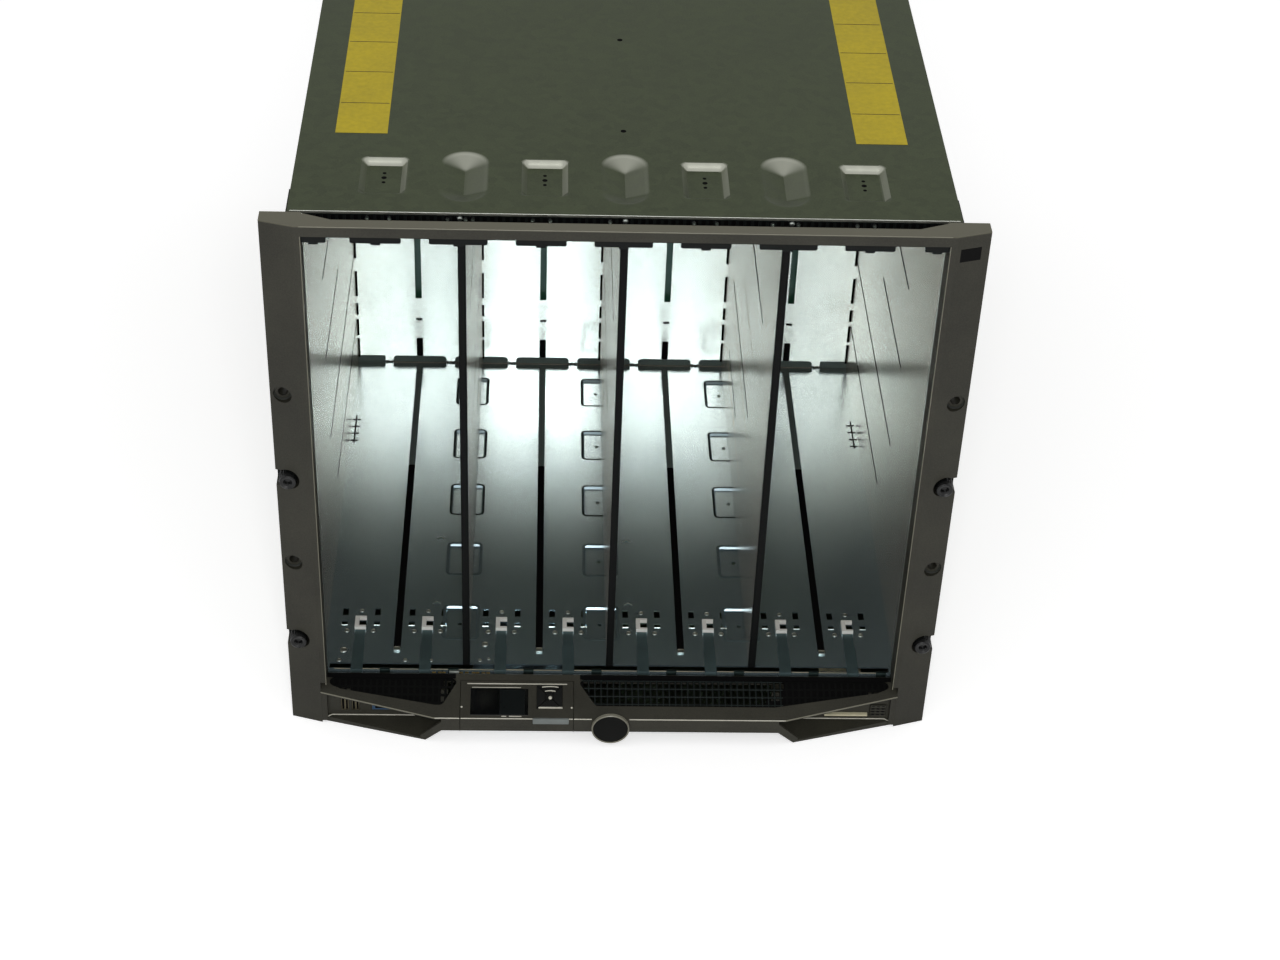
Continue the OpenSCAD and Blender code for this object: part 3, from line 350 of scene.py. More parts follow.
def zinc_steel(name, colour, roughness, spangle, spread, wall_highlight=None):
    """Zinc-coated sheet with crystals and grain; steep walls may get a painted highlight."""
    s = Shade(name, Metallic=1.0)
    crystal_share, cloud_share = 0.45, 0.55
    crystals = s.add("ShaderNodeSeparateColor")
    s.join(s.cells(spangle), "Color", crystals, "Color")
    clouds = s.noise(0.07, 4.0, 0.6)
    fine = s.noise(0.0012, 2.0, 0.7)
    tint = s.weigh(crystals, "Red", crystal_share, s.weigh(clouds, "Fac", cloud_share))
    shade = s.mean(tint, "Value", fine, "Fac")
    ramp = s.two_tone(shade, "Result", scaled(colour, 1 - spread), scaled(colour, 1 + spread), 0.3, 0.7)
    walls = s.paint(ramp, wall_highlight)
    if wall_highlight:
        # Painted highlight: walls that face the front are made paler most, those that face the sides
        # less.
        lean, sideways, flat, steep = 0.08, -0.16, -0.03, -0.42
        normal = s.split("Normal")
        side = s.add("ShaderNodeMath", operation="ABSOLUTE")
        s.join(normal, "X", side, 0)
        frontal = s.weigh(normal, "X", lean, normal, "Y")
        both = s.weigh(side, "Value", sideways, frontal)
        s.span(both, "Value", 0, 1, walls, "Factor", flat, steep)
    s.span(tint, "Value", roughness * 0.8, roughness * 1.25, s.bsdf, "Roughness")
    s.bump(fine, 0.00002, 0.6)
    return s.material


def rolled_steel(name, colour, roughness):
    """Bright cold-rolled sheet: fine grain, soft clouds and a slightly uneven gloss."""
    spread, cloud_share = 0.03, 0.8
    s = Shade(name, Metallic=0.9)
    grain = s.noise(0.0011, 2.0, 0.6)
    clouds = s.noise(0.2, 1.0, 0.4)
    shade = s.mean(grain, "Fac", clouds, "Fac", cloud_share)
    s.paint(s.two_tone(shade, "Result", scaled(colour, 1 - spread), scaled(colour, 1 + spread)))
    s.span(clouds, "Fac", roughness * 0.95, roughness * 1.05, s.bsdf, "Roughness", 0.35, 0.65)
    s.bump(grain, 0.000004, 0.5)
    return s.material


def textured_plastic(name, colour, roughness, grain=0.0009, depth=0.00006, spread=0.08, gloss=0.35,
                     highlight_above=None):
    """Moulded plastic with a fine spark-eroded grain and faint rub marks; above a given height it is
    made paler, a painted highlight.
    """
    fade, paler = 0.0012, 4.2
    s = Shade(name, Specular_IOR_Level=gloss)
    clouds = s.noise(0.05, 4.0, 0.6)
    fine = s.noise(grain, 2.0, 0.6)
    shade = s.mean(clouds, "Fac", fine, "Fac")
    ramp = s.two_tone(shade, "Result", scaled(colour, 1 - spread), scaled(colour, 1 + spread))
    top = s.paint(ramp, scaled(colour, paler) if highlight_above else None)
    # Painted highlight: the colour turns much paler above the given height.
    if highlight_above:
        s.span(s.split("Object"), "Z", 0, 1, top, "Factor", highlight_above - fade, highlight_above)
    s.span(clouds, "Fac", roughness * 0.85, roughness * 1.15, s.bsdf, "Roughness")
    s.bump(fine, depth, 0.5)
    return s.material


def plain_gloss(name, colour, roughness, metallic=0.0, gloss=0.5):
    """A smooth moulded or plated finish, with faint smudges in its gloss."""
    s = Shade(name, Metallic=metallic, Specular_IOR_Level=gloss)
    smudge = s.noise(0.012, 3.0, 0.6)
    s.paint(s.two_tone(smudge, "Fac", scaled(colour, 0.93), scaled(colour, 1.05)))
    s.span(smudge, "Fac", roughness * 0.7, roughness * 1.4, s.bsdf, "Roughness")
    return s.material


# ---------- finishes that several pieces share ----------

MATERIALS = {}


def kept(name, make, *values, **options):
    """The material of that name, made the first time it is asked for."""
    if name not in MATERIALS:
        MATERIALS[name] = make(name, *values, **options)
    return MATERIALS[name]


def deep_black(name):
    """Nearly black and matt."""
    s = Shade(name, Base_Color=srgb(5, 5, 5), Roughness=0.9, Specular_IOR_Level=0.1)
    return s.material


def matt_black():
    """Painted shade in the depth of openings, slits and gaps, and plain black strips."""
    return kept("matt black", deep_black)


def rubber():
    """Black edging and marks."""
    return kept("black edging", textured_plastic, srgb(12, 14, 14), 0.6, gloss=0.12)


def edge_steel():
    """Cut edges, rivets and small screws."""
    return kept("bright edge", plain_gloss, srgb(205, 212, 205), 0.3, 1.0)


def pale_trim_and_highlight():
    """Pale lines and marks: painted highlights on edges and keys, and small screws and marks."""
    return kept("bright trim", plain_gloss, srgb(196, 194, 180), 0.3)


def dress(names, material):
    """Gives frame nodes a material in every slot."""
    for name in names:
        materials = NODES[name].data.materials
        if not materials:
            materials.append(material)
        for i in range(len(materials)):
            materials[i] = material


def dressed(name):
    """The material that a frame node wears."""
    return NODES[name].data.materials[0]


# ---------- mesh helpers; meshes are made in millimetres ----------


def new_piece(name, mesh, material, body="root", slot="bezel", replaced=(), smooth=30.0):
    """Turns a bmesh into a piece that rides on a body; smooth is its sharpest soft edge, in degrees."""
    bmesh.ops.scale(mesh, vec=(MM, MM, MM), verts=mesh.verts)
    bmesh.ops.recalc_face_normals(mesh, faces=mesh.faces)
    for edge in mesh.edges:
        edge.smooth = len(edge.link_faces) == 2 and edge.calc_face_angle(0.0) < math.radians(smooth)
    for face in mesh.faces:
        face.smooth = True
    data = bpy.data.meshes.new(name)
    mesh.to_mesh(data)
    mesh.free()
    o = bpy.data.objects.new(name, data)
    bpy.context.scene.collection.objects.link(o)
    data.materials.append(material)
    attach(o, body)
    if replaced:
        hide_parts(*replaced)


def merge(part, mesh):
    """Moves all that a bmesh holds into another one."""
    data = bpy.data.meshes.new("part")
    part.to_mesh(data)
    part.free()
    mesh.from_mesh(data)
    bpy.data.meshes.remove(data)


def extrude(mesh, faces, shift, **options):
    """Extrudes the faces and moves the new ones by the shift."""
    raised = bmesh.ops.extrude_face_region(mesh, geom=faces, **options)
    bmesh.ops.translate(mesh, vec=shift,
                        verts=[v for v in raised["geom"] if isinstance(v, bmesh.types.BMVert)])


def add_block(mesh, low, high, bevel=0.0, segments=2, place=Matrix()):
    """A block between two corners, with rounded edges."""
    low, high = Vector(low), Vector(high)
    matrix = place @ Matrix.Translation((low + high) / 2) @ Matrix.Diagonal((*(high - low), 1))
    made = bmesh.ops.create_cube(mesh, size=1, matrix=matrix)
    if bevel:
        edges = list({e for v in made["verts"] for e in v.link_edges})
        bmesh.ops.bevel(mesh, geom=edges, offset=bevel, segments=segments, profile=0.5,
                        affect="EDGES", material=-1)


def new_blocks(name, corners, material, bevel=0.0, segments=2, place=Matrix(), **riding):
    """A piece of blocks, each between its low and its high corner."""
    mesh = bmesh.new()
    for low, high in corners:
        add_block(mesh, low, high, bevel, segments, place)
    new_piece(name, mesh, material, **riding)


def facing(point, axis):
    """A frame at a point whose Z points along the axis."""
    return Matrix.Translation(point) @ Vector(axis).to_track_quat("Z", "Y").to_matrix().to_4x4()


def add_rod(mesh, start, end, radius, segments=10):
    """A straight round rod between two points."""
    start, end = Vector(start), Vector(end)
    bmesh.ops.create_cone(mesh, cap_ends=True, segments=segments, radius1=radius, radius2=radius,
                          depth=(end - start).length, matrix=facing((start + end) / 2, end - start))


def add_turned(mesh, profile, place, steps):
    """A turned piece: the profile's (radius, height) points are spun round the place's Z."""
    part = bmesh.new()
    points = [part.verts.new((r, 0, z)) for r, z in profile]
    lines = [part.edges.new(pair) for pair in zip(points, points[1:])]
    bmesh.ops.spin(part, geom=points + lines, cent=(0, 0, 0), axis=(0, 0, 1), steps=steps,
                   angle=math.tau, use_merge=True)
    bmesh.ops.remove_doubles(part, verts=part.verts, dist=0.001)
    bmesh.ops.transform(part, matrix=place, verts=part.verts)
    merge(part, mesh)


def add_frame(mesh, place, width, length, radius, border, height):
    """A flat frame with round corners and a border of one width, on the place's XY plane."""
    part = bmesh.new()
    bmesh.ops.create_grid(part, x_segments=1, y_segments=1, size=0.5,
                          matrix=Matrix.Diagonal((width, length, 1, 1)))
    bmesh.ops.bevel(part, geom=part.verts[:], offset=radius, segments=5, profile=0.5,
                    affect="VERTICES", material=-1)
    middle = part.faces[:]
    bmesh.ops.inset_region(part, faces=middle, thickness=border, use_boundary=True,
                           use_even_offset=True)
    bmesh.ops.delete(part, geom=middle, context="FACES_ONLY")
    extrude(part, part.faces[:], (0, 0, height))
    bmesh.ops.transform(part, matrix=place, verts=part.verts)
    merge(part, mesh)


def add_dome(mesh, point, axis, radius, height, steps=14):
    """A round rivet head."""
    add_turned(mesh, [(radius, -0.2), (radius, 0.1 * height), (0.86 * radius, 0.55 * height),
                      (0.5 * radius, 0.88 * height), (0, height)], facing(point, axis), steps)


def add_screw(mesh, point, axis, radius, height):
    """A screw head with a round drive recess."""
    add_turned(mesh, [(radius, -0.2), (radius, 0.6 * height), (0.85 * radius, height),
                      (0.42 * radius, height), (0.3 * radius, 0.5 * height), (0, 0.4 * height)],
               facing(point, axis), 14)


# ---------- stage ----------


def set_camera(scene, setup):
    """Makes a camera that looks along +Y, turned by yaw, pitch and roll."""
    pitch, yaw, roll = setup.camera_pitch, setup.camera_yaw, setup.camera_roll
    ahead = Vector((math.sin(yaw), math.cos(yaw), 0))
    side = Vector((math.cos(yaw), -math.sin(yaw), 0))
    forward = ahead * math.cos(pitch) - Vector((0, 0, math.sin(pitch)))
    up = side.cross(forward)
    turn = Matrix((math.cos(roll) * side + math.sin(roll) * up,
                   math.cos(roll) * up - math.sin(roll) * side, -forward)).transposed()
    data = bpy.data.cameras.new("camera")
    data.sensor_width = 36
    data.lens = setup.camera_lens
    data.clip_start, data.clip_end = 0.01, 50
    camera = bpy.data.objects.new("camera", data)
    camera.matrix_world = Matrix.Translation(setup.camera_place) @ turn.to_4x4()
    scene.collection.objects.link(camera)
    scene.camera = camera


def lay_floor(scene, lift):
    """Lays the pale floor just under the chassis."""
    half_width, gap = 12, 0.0004
    mesh = bmesh.new()
    bmesh.ops.create_grid(mesh, x_segments=1, y_segments=1, size=half_width)
    data = bpy.data.meshes.new("floor")
    mesh.to_mesh(data)
    mesh.free()
    floor = bpy.data.objects.new("floor", data)
    floor.location.z = CAD_BOX[0].z - gap
    scene.collection.objects.link(floor)
    s = Shade("pale floor", Base_Color=(0.86, 0.86, 0.86, 1), Roughness=0.9,
              Emission_Color=(1, 1, 1, 1), Specular_IOR_Level=0.1)
    seen = s.add("ShaderNodeLightPath")
    s.span(seen, "Is Camera Ray", 0.0, lift, s.bsdf, "Emission Strength")
    data.materials.append(s.material)


def set_world(scene):
    """Surrounds the scene with soft white light, and with plain white where it is seen."""
    soft_strength, seen_strength = 0.55, 1.0
    world = bpy.data.worlds.new("studio")
    scene.world = world
    world.use_nodes = True
    tree = world.node_tree
    tree.nodes.clear()
    out = tree.nodes.new("ShaderNodeOutputWorld")
    mix = tree.nodes.new("ShaderNodeMixShader")
    path = tree.nodes.new("ShaderNodeLightPath")
    tree.links.new(path.outputs["Is Camera Ray"], mix.inputs[0])
    for socket, strength in ((1, soft_strength), (2, seen_strength)):
        white = tree.nodes.new("ShaderNodeBackground")
        white.inputs["Color"].default_value = (1, 1, 1, 1)
        white.inputs["Strength"].default_value = strength
        tree.links.new(white.outputs[0], mix.inputs[socket])
    tree.links.new(mix.outputs[0], out.inputs["Surface"])


def soft_light(name, place, target, size, power):
    """A square area light that faces the target."""
    data = bpy.data.lights.new(name, "AREA")
    data.energy = power
    data.shape = "SQUARE"
    data.size = size
    o = bpy.data.objects.new(name, data)
    o.location = place
    o.rotation_mode = "QUATERNION"
    o.rotation_quaternion = (Vector(target) - Vector(place)).to_track_quat("-Z", "Y")
    bpy.context.scene.collection.objects.link(o)


class CHASSIS_OT_stage(bpy.types.Operator):
    """Sets the pale floor, the soft lights and the camera"""

    bl_idname = "chassis.stage"
    bl_label = "Stage"

    def execute(self, context):
        setup = context.scene.chassis_stage
        context.scene.view_settings.view_transform = "Standard"
        set_camera(context.scene, setup)
        lay_floor(context.scene, setup.floor_lift)
        set_world(context.scene)
        soft_light("key light", (-0.25, -2.3, 2.2), (0, 0.2, 0.2), 1.4, setup.key_power)
        soft_light("near light", (-0.035, -1.5, 1.37), (0, 0.35, 0.05), 0.3, setup.near_power)
        soft_light("low light", (0.1, -2.1, 0.25), (0, 0, 0.05), 0.8, setup.low_power)
        soft_light("left light", (-2.4, -0.6, 1.6), (0, 0.2, 0.2), 1.2, setup.fill_power)
        return {"FINISHED"}


# ---------- finishes of the frame's own nodes ----------


class CHASSIS_OT_sheet_metal(bpy.types.Operator):
    """Gives the outer sheets, the bay sheets and the rear frame their zinc-coated steel"""

    bl_idname = "chassis.sheet_metal"
    bl_label = "Sheet metal"

    def execute(self, context):
        look = context.scene.chassis_finish
        spangle, shiny = look.spangle_size, look.steel_roughness
        colour = tuple(look.cover_colour)
        cover = zinc_steel("cover steel", colour, 0.42, spangle, 0.2)
        # The pressings' walls get a painted highlight in this paler colour.
        pressed = zinc_steel("pressed cover steel", colour, 0.42, spangle, 0.2, srgb(206, 208, 194))
        liner = rolled_steel("bay steel", tuple(look.liner_colour), shiny)
        floor = rolled_steel("bay floor steel", tuple(look.floor_colour), shiny)
        rear = zinc_steel("rear steel", srgb(170, 175, 168), 0.38, spangle, 0.08)
        dress(["top_cover"], pressed)
        dress(["bottom_pan", "left_side_panel", "right_side_panel"], cover)
        dress(["bay_side_liners", "bay_back_panel", *DIVIDERS], liner)
        dress(["bay_floor", "lcd_tray"], floor)
        dress(["spring_fingers"], plain_gloss("spring steel", srgb(92, 112, 114), 0.5, 0.8, 0.4))
        dress(["rear_frame", "rear_blanks"] + [n for n in NODES if n.startswith("psu_")], rear)
        return {"FINISHED"}


class CHASSIS_OT_mouldings(bpy.types.Operator):
    """Gives the bezel mouldings, fans and small plastic pieces their finish"""

    bl_idname = "chassis.mouldings"
    bl_label = "Mouldings"

    def execute(self, context):
        colour = tuple(context.scene.chassis_finish.bezel_colour)
        black = textured_plastic("black plastic", srgb(22, 23, 22), 0.45)
        dress([n for n in NODES if n.startswith(("fan_", "thumbscrew_"))] + ["bezel_badge"], black)
        # The top bar's upper face gets a painted highlight.
        dress(["front_bezel"],
              textured_plastic("bezel bar plastic", colour, 0.5, spread=0.3, highlight_above=BAR_TOP * MM))
        dress(["lower_bezel", "lcd_housing", "power_button"],
              textured_plastic("bezel plastic", colour, 0.5, spread=0.3))
        dress(["air_grilles"], textured_plastic("grille black", srgb(6, 7, 6), 0.7, gloss=0.1))
        dress(["rack_ears", "top_intake_strip"],
              textured_plastic("black coat", srgb(16, 19, 18), 0.5, 0.0012, 0.00004, gloss=0.15))
        dress(["key_up", "key_down", "key_left", "key_right", "key_select"],
              textured_plastic("key plastic", srgb(22, 23, 22), 0.4, 0.0006, 0.00002, gloss=0.2))
        dress(["midplane_board"], plain_gloss("solder mask", srgb(20, 66, 42), 0.35))
        dress(["keying_clips"], plain_gloss("white nylon", srgb(226, 226, 220), 0.4))
        dress(["info_tag"], plain_gloss("tag cream", srgb(196, 190, 160), 0.4))
        dress(["lcd_window"], plain_gloss("screen glass", srgb(8, 9, 10), 0.08))
        dress(["front_ports"], plain_gloss("plated steel", srgb(118, 112, 92), 0.35, 1.0))
        return {"FINISHED"}


# ---------- cover ----------


def press_depth(x, y):
    """How deep the cover is pressed in at a point: rectangular pads and grooves stand in turn."""
    dy = abs(y - PRESS_Y)
    for middle in MID_BAYS:
        tx = (PAD_HALF_X - abs(x - middle)) / PAD_WALL_X
        ty = (PAD_HALF_Y - dy) / PAD_WALL_Y
        if tx > 0 and ty > 0:
            t = max(0.0, 1 - math.hypot(max(0, 1 - tx), max(0, 1 - ty)))
            return PAD_DEPTH * t * t * (3 - 2 * t)
    for middle in DIVIDER_XS:
        t = 1 - math.hypot(x - middle, max(0, dy - GROOVE_R)) / GROOVE_R
        if t > 0:
            return GROOVE_DEPTH * t * min(1.0, GROOVE_STEEPNESS * t)
    return 0.0


def pressed_sheet():
    """The cover sheet with its pressings along the front."""
    low, high = node_box("top_cover")
    half = (high.x - low.x) / 2
    under = high.z - COVER_SHEET
    mesh = bmesh.new()
    bmesh.ops.create_grid(mesh, x_segments=358, y_segments=76, size=0.5,
                          matrix=Matrix.Translation((0, PRESSED_BAND / 2, high.z))
                          @ Matrix.Diagonal((2 * half, PRESSED_BAND, 1, 1)))
    for v in mesh.verts:
        v.co.z -= press_depth(v.co.x, v.co.y)
    extrude(mesh, mesh.faces[:], (0, 0, -COVER_SHEET), use_keep_orig=True)
    add_block(mesh, (-half, PRESSED_BAND - 0.01, under), (half, high.y, high.z))
    new_piece("cover_sheet", mesh, dressed("top_cover"), slot="cover", replaced=("top_cover",),
              smooth=25.0)


def cover_holes():
    """Black discs of painted shade for the holes in the pads and along the middle of the cover."""
    top = node_box("top_cover")[1].z
    pad = top - PAD_DEPTH
    middle_y, step, small, large = 51, 6, 1.3, 1.8
    mesh = bmesh.new()
    for x in MID_BAYS:
        for y, radius in ((middle_y - step, small), (middle_y, large), (middle_y + step, small)):
            add_rod(mesh, (x, y, pad - 0.3), (x, y, pad + 0.05), radius, 16)
    for y in (113, 249):
        add_rod(mesh, (0, y, top - 0.5), (0, y, top + 0.04), 2, 20)
    new_piece("cover_holes", mesh, matt_black(), slot="cover")


class CHASSIS_OT_cover(bpy.types.Operator):
    """Presses the cover sheet to rectangles and V-shaped grooves, with painted shade for the holes in
    its pads
    """

    bl_idname = "chassis.cover"
    bl_label = "Cover sheet"

    def execute(self, context):
        pressed_sheet()
        cover_holes()
        return {"FINISHED"}


# ---------- bay fittings ----------


def divider_edging():
    """The black edging on the front of every divider."""
    front, width, wrap = 1.2, 5.2, 7
    mesh = bmesh.new()
    for low, high in map(node_box, DIVIDERS):
        add_block(mesh, (low.x - 0.1, front, FLOOR_Z), (low.x + width, low.y + 2, high.z), 0.3)
        add_block(mesh, (high.x + 0.05, front, FLOOR_Z), (low.x + width, wrap, high.z), 0.2)
    new_piece("divider_edging", mesh, rubber(), slot="strip")


def channel_floors(front, back):
    """Corners of the shade on the floors of the guide channels, between two depths."""
    low, high = FLOOR_Z - CHANNEL_DEEP, FLOOR_Z - CHANNEL_DEEP + 0.6
    return [((x - CHANNEL_HALF, front, low), (x + CHANNEL_HALF, back, high)) for x in MID_BAYS]


def slit_shadows():
    """Painted shade in the long slits of the dividers and liners, and on the front of the guide
    channels' floors.
    """
    divider_slit, liner_slit, liner_x, liner_reach = 1.2, 1.3, HALF_BAY + 0.6, 0.68
    slits = []
    for low, high in map(node_box, DIVIDERS):
        for front, back, z in DIVIDER_SLITS:
            slits.append(((low.x - PROUD, front, z - divider_slit),
                          (high.x + PROUD, back, z + divider_slit)))
    for side in SIDES:
        left, right = side * liner_x - liner_reach, side * liner_x + liner_reach
        for front, back, z in LINER_SLITS:
            slits.append(((left, front, z - liner_slit), (right, back, z + liner_slit)))
    slits += channel_floors(20, CHANNEL_SHADE_Y)
    new_blocks("slit_shadows", slits, matt_black(), slot="strip")


def slot_backs():
    """The shaded sheet seen through the slots where the floor meets the back panel."""
    half_slot, half_corner = 26, 11.8
    slots = []
    for k in range(-3, 4):
        left, right = k * PITCH - half_slot, k * PITCH + half_slot
        slots.append(((left, BACK_Y + 1.4, FLOOR_Z - 2.5), (right, BACK_Y + 2, FLOOR_Z + 9)))
        slots.append(((left, BACK_Y - 10, FLOOR_Z - 2.5), (right, BACK_Y + 1.6, FLOOR_Z - 1.9)))
    for side in SIDES:
        x = side * (HALF_BAY - half_corner)
        left, right = x - half_corner, x + half_corner
        slots.append(((left, BACK_Y - 7, FLOOR_Z - 0.1), (right, BACK_Y, FLOOR_Z + PROUD)))
        slots.append(((left, BACK_Y - PROUD, FLOOR_Z), (right, BACK_Y + 0.1, FLOOR_Z + 7)))
    slots += channel_floors(CHANNEL_SHADE_Y, BACK_Y - 10)
    shade = plain_gloss("shaded steel", srgb(88, 100, 96), 0.6, gloss=0.2)
    new_blocks("pill_backs", slots, shade, slot="floor")


class CHASSIS_OT_divider_edges(bpy.types.Operator):
    """Puts the black edging on the dividers and the shade into slits, channels and slots"""

    bl_idname = "chassis.divider_edges"
    bl_label = "Divider edging"

    def execute(self, context):
        divider_edging()
        slit_shadows()
        slot_backs()
        return {"FINISHED"}


class CHASSIS_OT_back_panel(bpy.types.Operator):
    """Paints the corner slots and the lower guide slots as black shade, and adds the sheet between them
    """

    bl_idname = "chassis.back_panel"
    bl_label = "Back panel slots"

    def execute(self, context):
        front, back = BACK_Y - 0.07, BACK_Y + 0.1
        width, half_guide = 1.6, 2.75
        slots = []
        # Painted shade: black sheets for the slots in the back panel.
        for bottom, top in CORNER_SLOTS:
            for low, high in map(node_box, DIVIDERS):
                slots.append(((low.x - width, front, bottom), (low.x + 0.1, back, top)))
                slots.append(((high.x - 0.1, front, bottom), (high.x + width, back, top)))
            for side in SIDES:
                x = side * (HALF_BAY - width / 2)
                slots.append(((x - width / 2, front, bottom), (x + width / 2, back, top)))
        for x in MID_BAYS:
            for bottom, top in ((47, 66), (84.8, 87.2)):
                slots.append(((x - half_guide, front, bottom), (x + half_guide, back, top)))
        new_blocks("corner_slots", slots, matt_black(), slot="strip")
        bridges = [((x - 2.8, BACK_Y - 0.04, 75.6), (x + 2.8, BACK_Y + 0.6, 108)) for x in MID_BAYS]
        new_blocks("guide_bridges", bridges, dressed("bay_back_panel"), slot="liner")
        return {"FINISHED"}


class CHASSIS_OT_bay_edges(bpy.types.Operator):
    """Makes the bright folded edges of the liners, a pale line along the floor's rim and a painted
    highlight along the cover's front edge
    """

    bl_idname = "chassis.bay_edges"
    bl_label = "Folded edges"

    def execute(self, context):
        top = 431
        mesh = bmesh.new()
        for side in SIDES:
            add_rod(mesh, (side * 214.4, -1.2, FLOOR_Z - 2), (side * 214.4, -1.2, top), LINE_R)
            add_rod(mesh, (side * 216.8, 0.4, FLOOR_Z), (side * 216.8, 0.4, top), 0.35)
        new_piece("liner_edges", mesh, edge_steel(), slot="liner")

        # Painted highlight: a pale line along the cover's front edge.
        mesh = bmesh.new()
        add_rod(mesh, (-222, 0.5, BODY_H - 0.3), (222, 0.5, BODY_H - 0.3), LINE_R)
        new_piece("cover_edge", mesh, plain_gloss("cover edge highlight", srgb(232, 234, 226), 0.4, 0.2),
                  slot="cover")

        latch_half = 4.8
        ends = [-OPENING_HALF] + LATCHES + [OPENING_HALF]
        mesh = bmesh.new()
        for left, right in zip(ends, ends[1:]):
            add_rod(mesh, (left + latch_half, -3.5, FLOOR_Z + 0.1),
                    (right - latch_half, -3.6, FLOOR_Z - 0.1), 0.3, 8)
        new_piece("floor_rim_edge", mesh, plain_gloss("pale rim line", srgb(150, 142, 120), 0.35, 1.0),
                  slot="floor")
        return {"FINISHED"}


def floor_rivets(size):
    """The bright rivets, formed domes, nibs and hooks of the bay floor."""
    rivet_y, dimple_y, nib_y = 63.5, 39.8, 46.2
    dimple_gap, nib_gap, half_nib = 10.1, 12.4, 2.4
    mesh = bmesh.new()
    for x in LATCHES:
        add_dome(mesh, (x, rivet_y, FLOOR_Z), UPWARD, 1.8, 0.9)
        for side in SIDES:
            add_dome(mesh, (x + side * dimple_gap, dimple_y, FLOOR_Z), UPWARD, 2.0, 1.0)
            nib = x + side * nib_gap
            add_block(mesh, (nib - half_nib, nib_y, FLOOR_Z - 0.4),
                      (nib + half_nib, nib_y + 0.7, FLOOR_Z + 0.5), 0.15, 1)
    # Odd rivets at the front left, each with its share of the rivet size.
    for x, y, k in ((-203.4, 17.3, 1.3), (-156, 6.5, 0.8), (-136.4, 6.4, 0.7), (-95.9, 25.2, 1.2),
                    (-99.2, 6.9, 0.7), (-92.6, 8.7, 0.6), (-206, 5.9, 0.8)):
        add_dome(mesh, (x, y, FLOOR_Z), UPWARD, k * size, k * 1.1)
    for x in MID_BAYS:
        add_block(mesh, (x - 2.5, 16.4, FLOOR_Z - 0.2), (x + 2.5, 20.6, FLOOR_Z + 1.6), 0.5)
    # Bent hooks in two of the bays.
    for x, y in ((-134.6, 153.6), (-134.6, 73.5), (15.3, 152.3), (15, 74)):
        add_rod(mesh, (x - 3.2, y - 1, FLOOR_Z + 0.2), (x, y + 1.2, FLOOR_Z + 0.4), 0.4, 6)
        add_rod(mesh, (x, y + 1.2, FLOOR_Z + 0.4), (x + 3.2, y - 1, FLOOR_Z + 0.2), 0.4, 6)
    new_piece("floor_rivets", mesh, edge_steel(), slot="floor")


def pressed_rims(name, rows, border, finish):
    """Thin frames round the floor's pressed pads, in the rows that share a finish: painted light and
    shade on the pads' edges.
    """
    width, length, corner, height = 28.4, 41.4, 4.5, 0.1
    offset, first_y, step_y = -6.3, 51.5, 76.9
    mesh = bmesh.new()
    for x in DIVIDER_XS:
        for j in rows:
            place = Matrix.Translation((x + offset, first_y + step_y * j, FLOOR_Z + 0.01))
            add_frame(mesh, place, width, length, corner, border, height)
    new_piece(name, mesh, finish, slot="floor")


def rim_fittings():
    """The lugs under the floor's rim, and the contacts and the lug on the lower bezel's lip."""
    dark = plain_gloss("dark spring steel", srgb(58, 72, 70), 0.45, 1.0)
    lugs = [((x + 17.7, -4.8, FLOOR_Z - 3), (x + 25.3, -2.4, FLOOR_Z + 0.9)) for x in LATCHES]
    new_blocks("rim_lugs", lugs, dark, 0.25, slot="spring")
    contacts = [((x - 1.6, -6.4, LIP_Z + 0.4), (x + 1.2, -5.2, LIP_Z + 1.3))
                for x in (-133.5, -129, -126, -113, -108.6, -103.5, -100.5, -96, -92.5)]
    brass = plain_gloss("brass", srgb(150, 128, 78), 0.3, 1.0)
    new_blocks("lip_contacts", contacts, brass, 0.2, slot="spring")
    lug = [((-122.2, -6.6, FLOOR_Z - 2.4), (-114.6, -4.4, FLOOR_Z + 0.6))]
    new_blocks("lip_lug", lug, edge_steel(), 0.4, slot="spring")


def corner_notches():
    """Painted shade: black marks for the row of notches on each side of the floor, towards the back."""
    line_x, notch_x, half_notch = 213.6, 213.2, 3.4
    notches = []
    for side in SIDES:
        x = side * line_x
        notches.append(((x - 0.6, 282, FLOOR_Z), (x + 0.6, 321, FLOOR_Z + 0.15)))
        x = side * notch_x
        for y in (284, 294, 304, 314):
            notches.append(((x - half_notch, y, FLOOR_Z), (x + half_notch, y + 1.6, FLOOR_Z + 0.2)))
    new_blocks("corner_notches", notches, matt_black(), slot="floor")


class CHASSIS_OT_floor_fittings(bpy.types.Operator):
    """Adds nibs, rivets, formed domes and lugs to the bay floor"""

    bl_idname = "chassis.floor_fittings"
    bl_label = "Floor fittings"

    def execute(self, context):
        floor_rivets(context.scene.chassis_hardware.rivet_head / MM)
        # Pale frames in the front rows are painted highlights; dark ones further back are painted
        # shade.
        pressed_rims("pad_rim_highlights", (0, 1), 2.1, plain_gloss("pad rim highlight", srgb(84, 98, 98), 0.5, 0.4, 0.3))
        pressed_rims("shaded_rims", (2, 3, 4), 1.5,
                     plain_gloss("shaded rim", srgb(40, 46, 44), 0.6, 0.0, 0.1))
        rim_fittings()
        corner_notches()
        return {"FINISHED"}


# ---------- bezel trim ----------


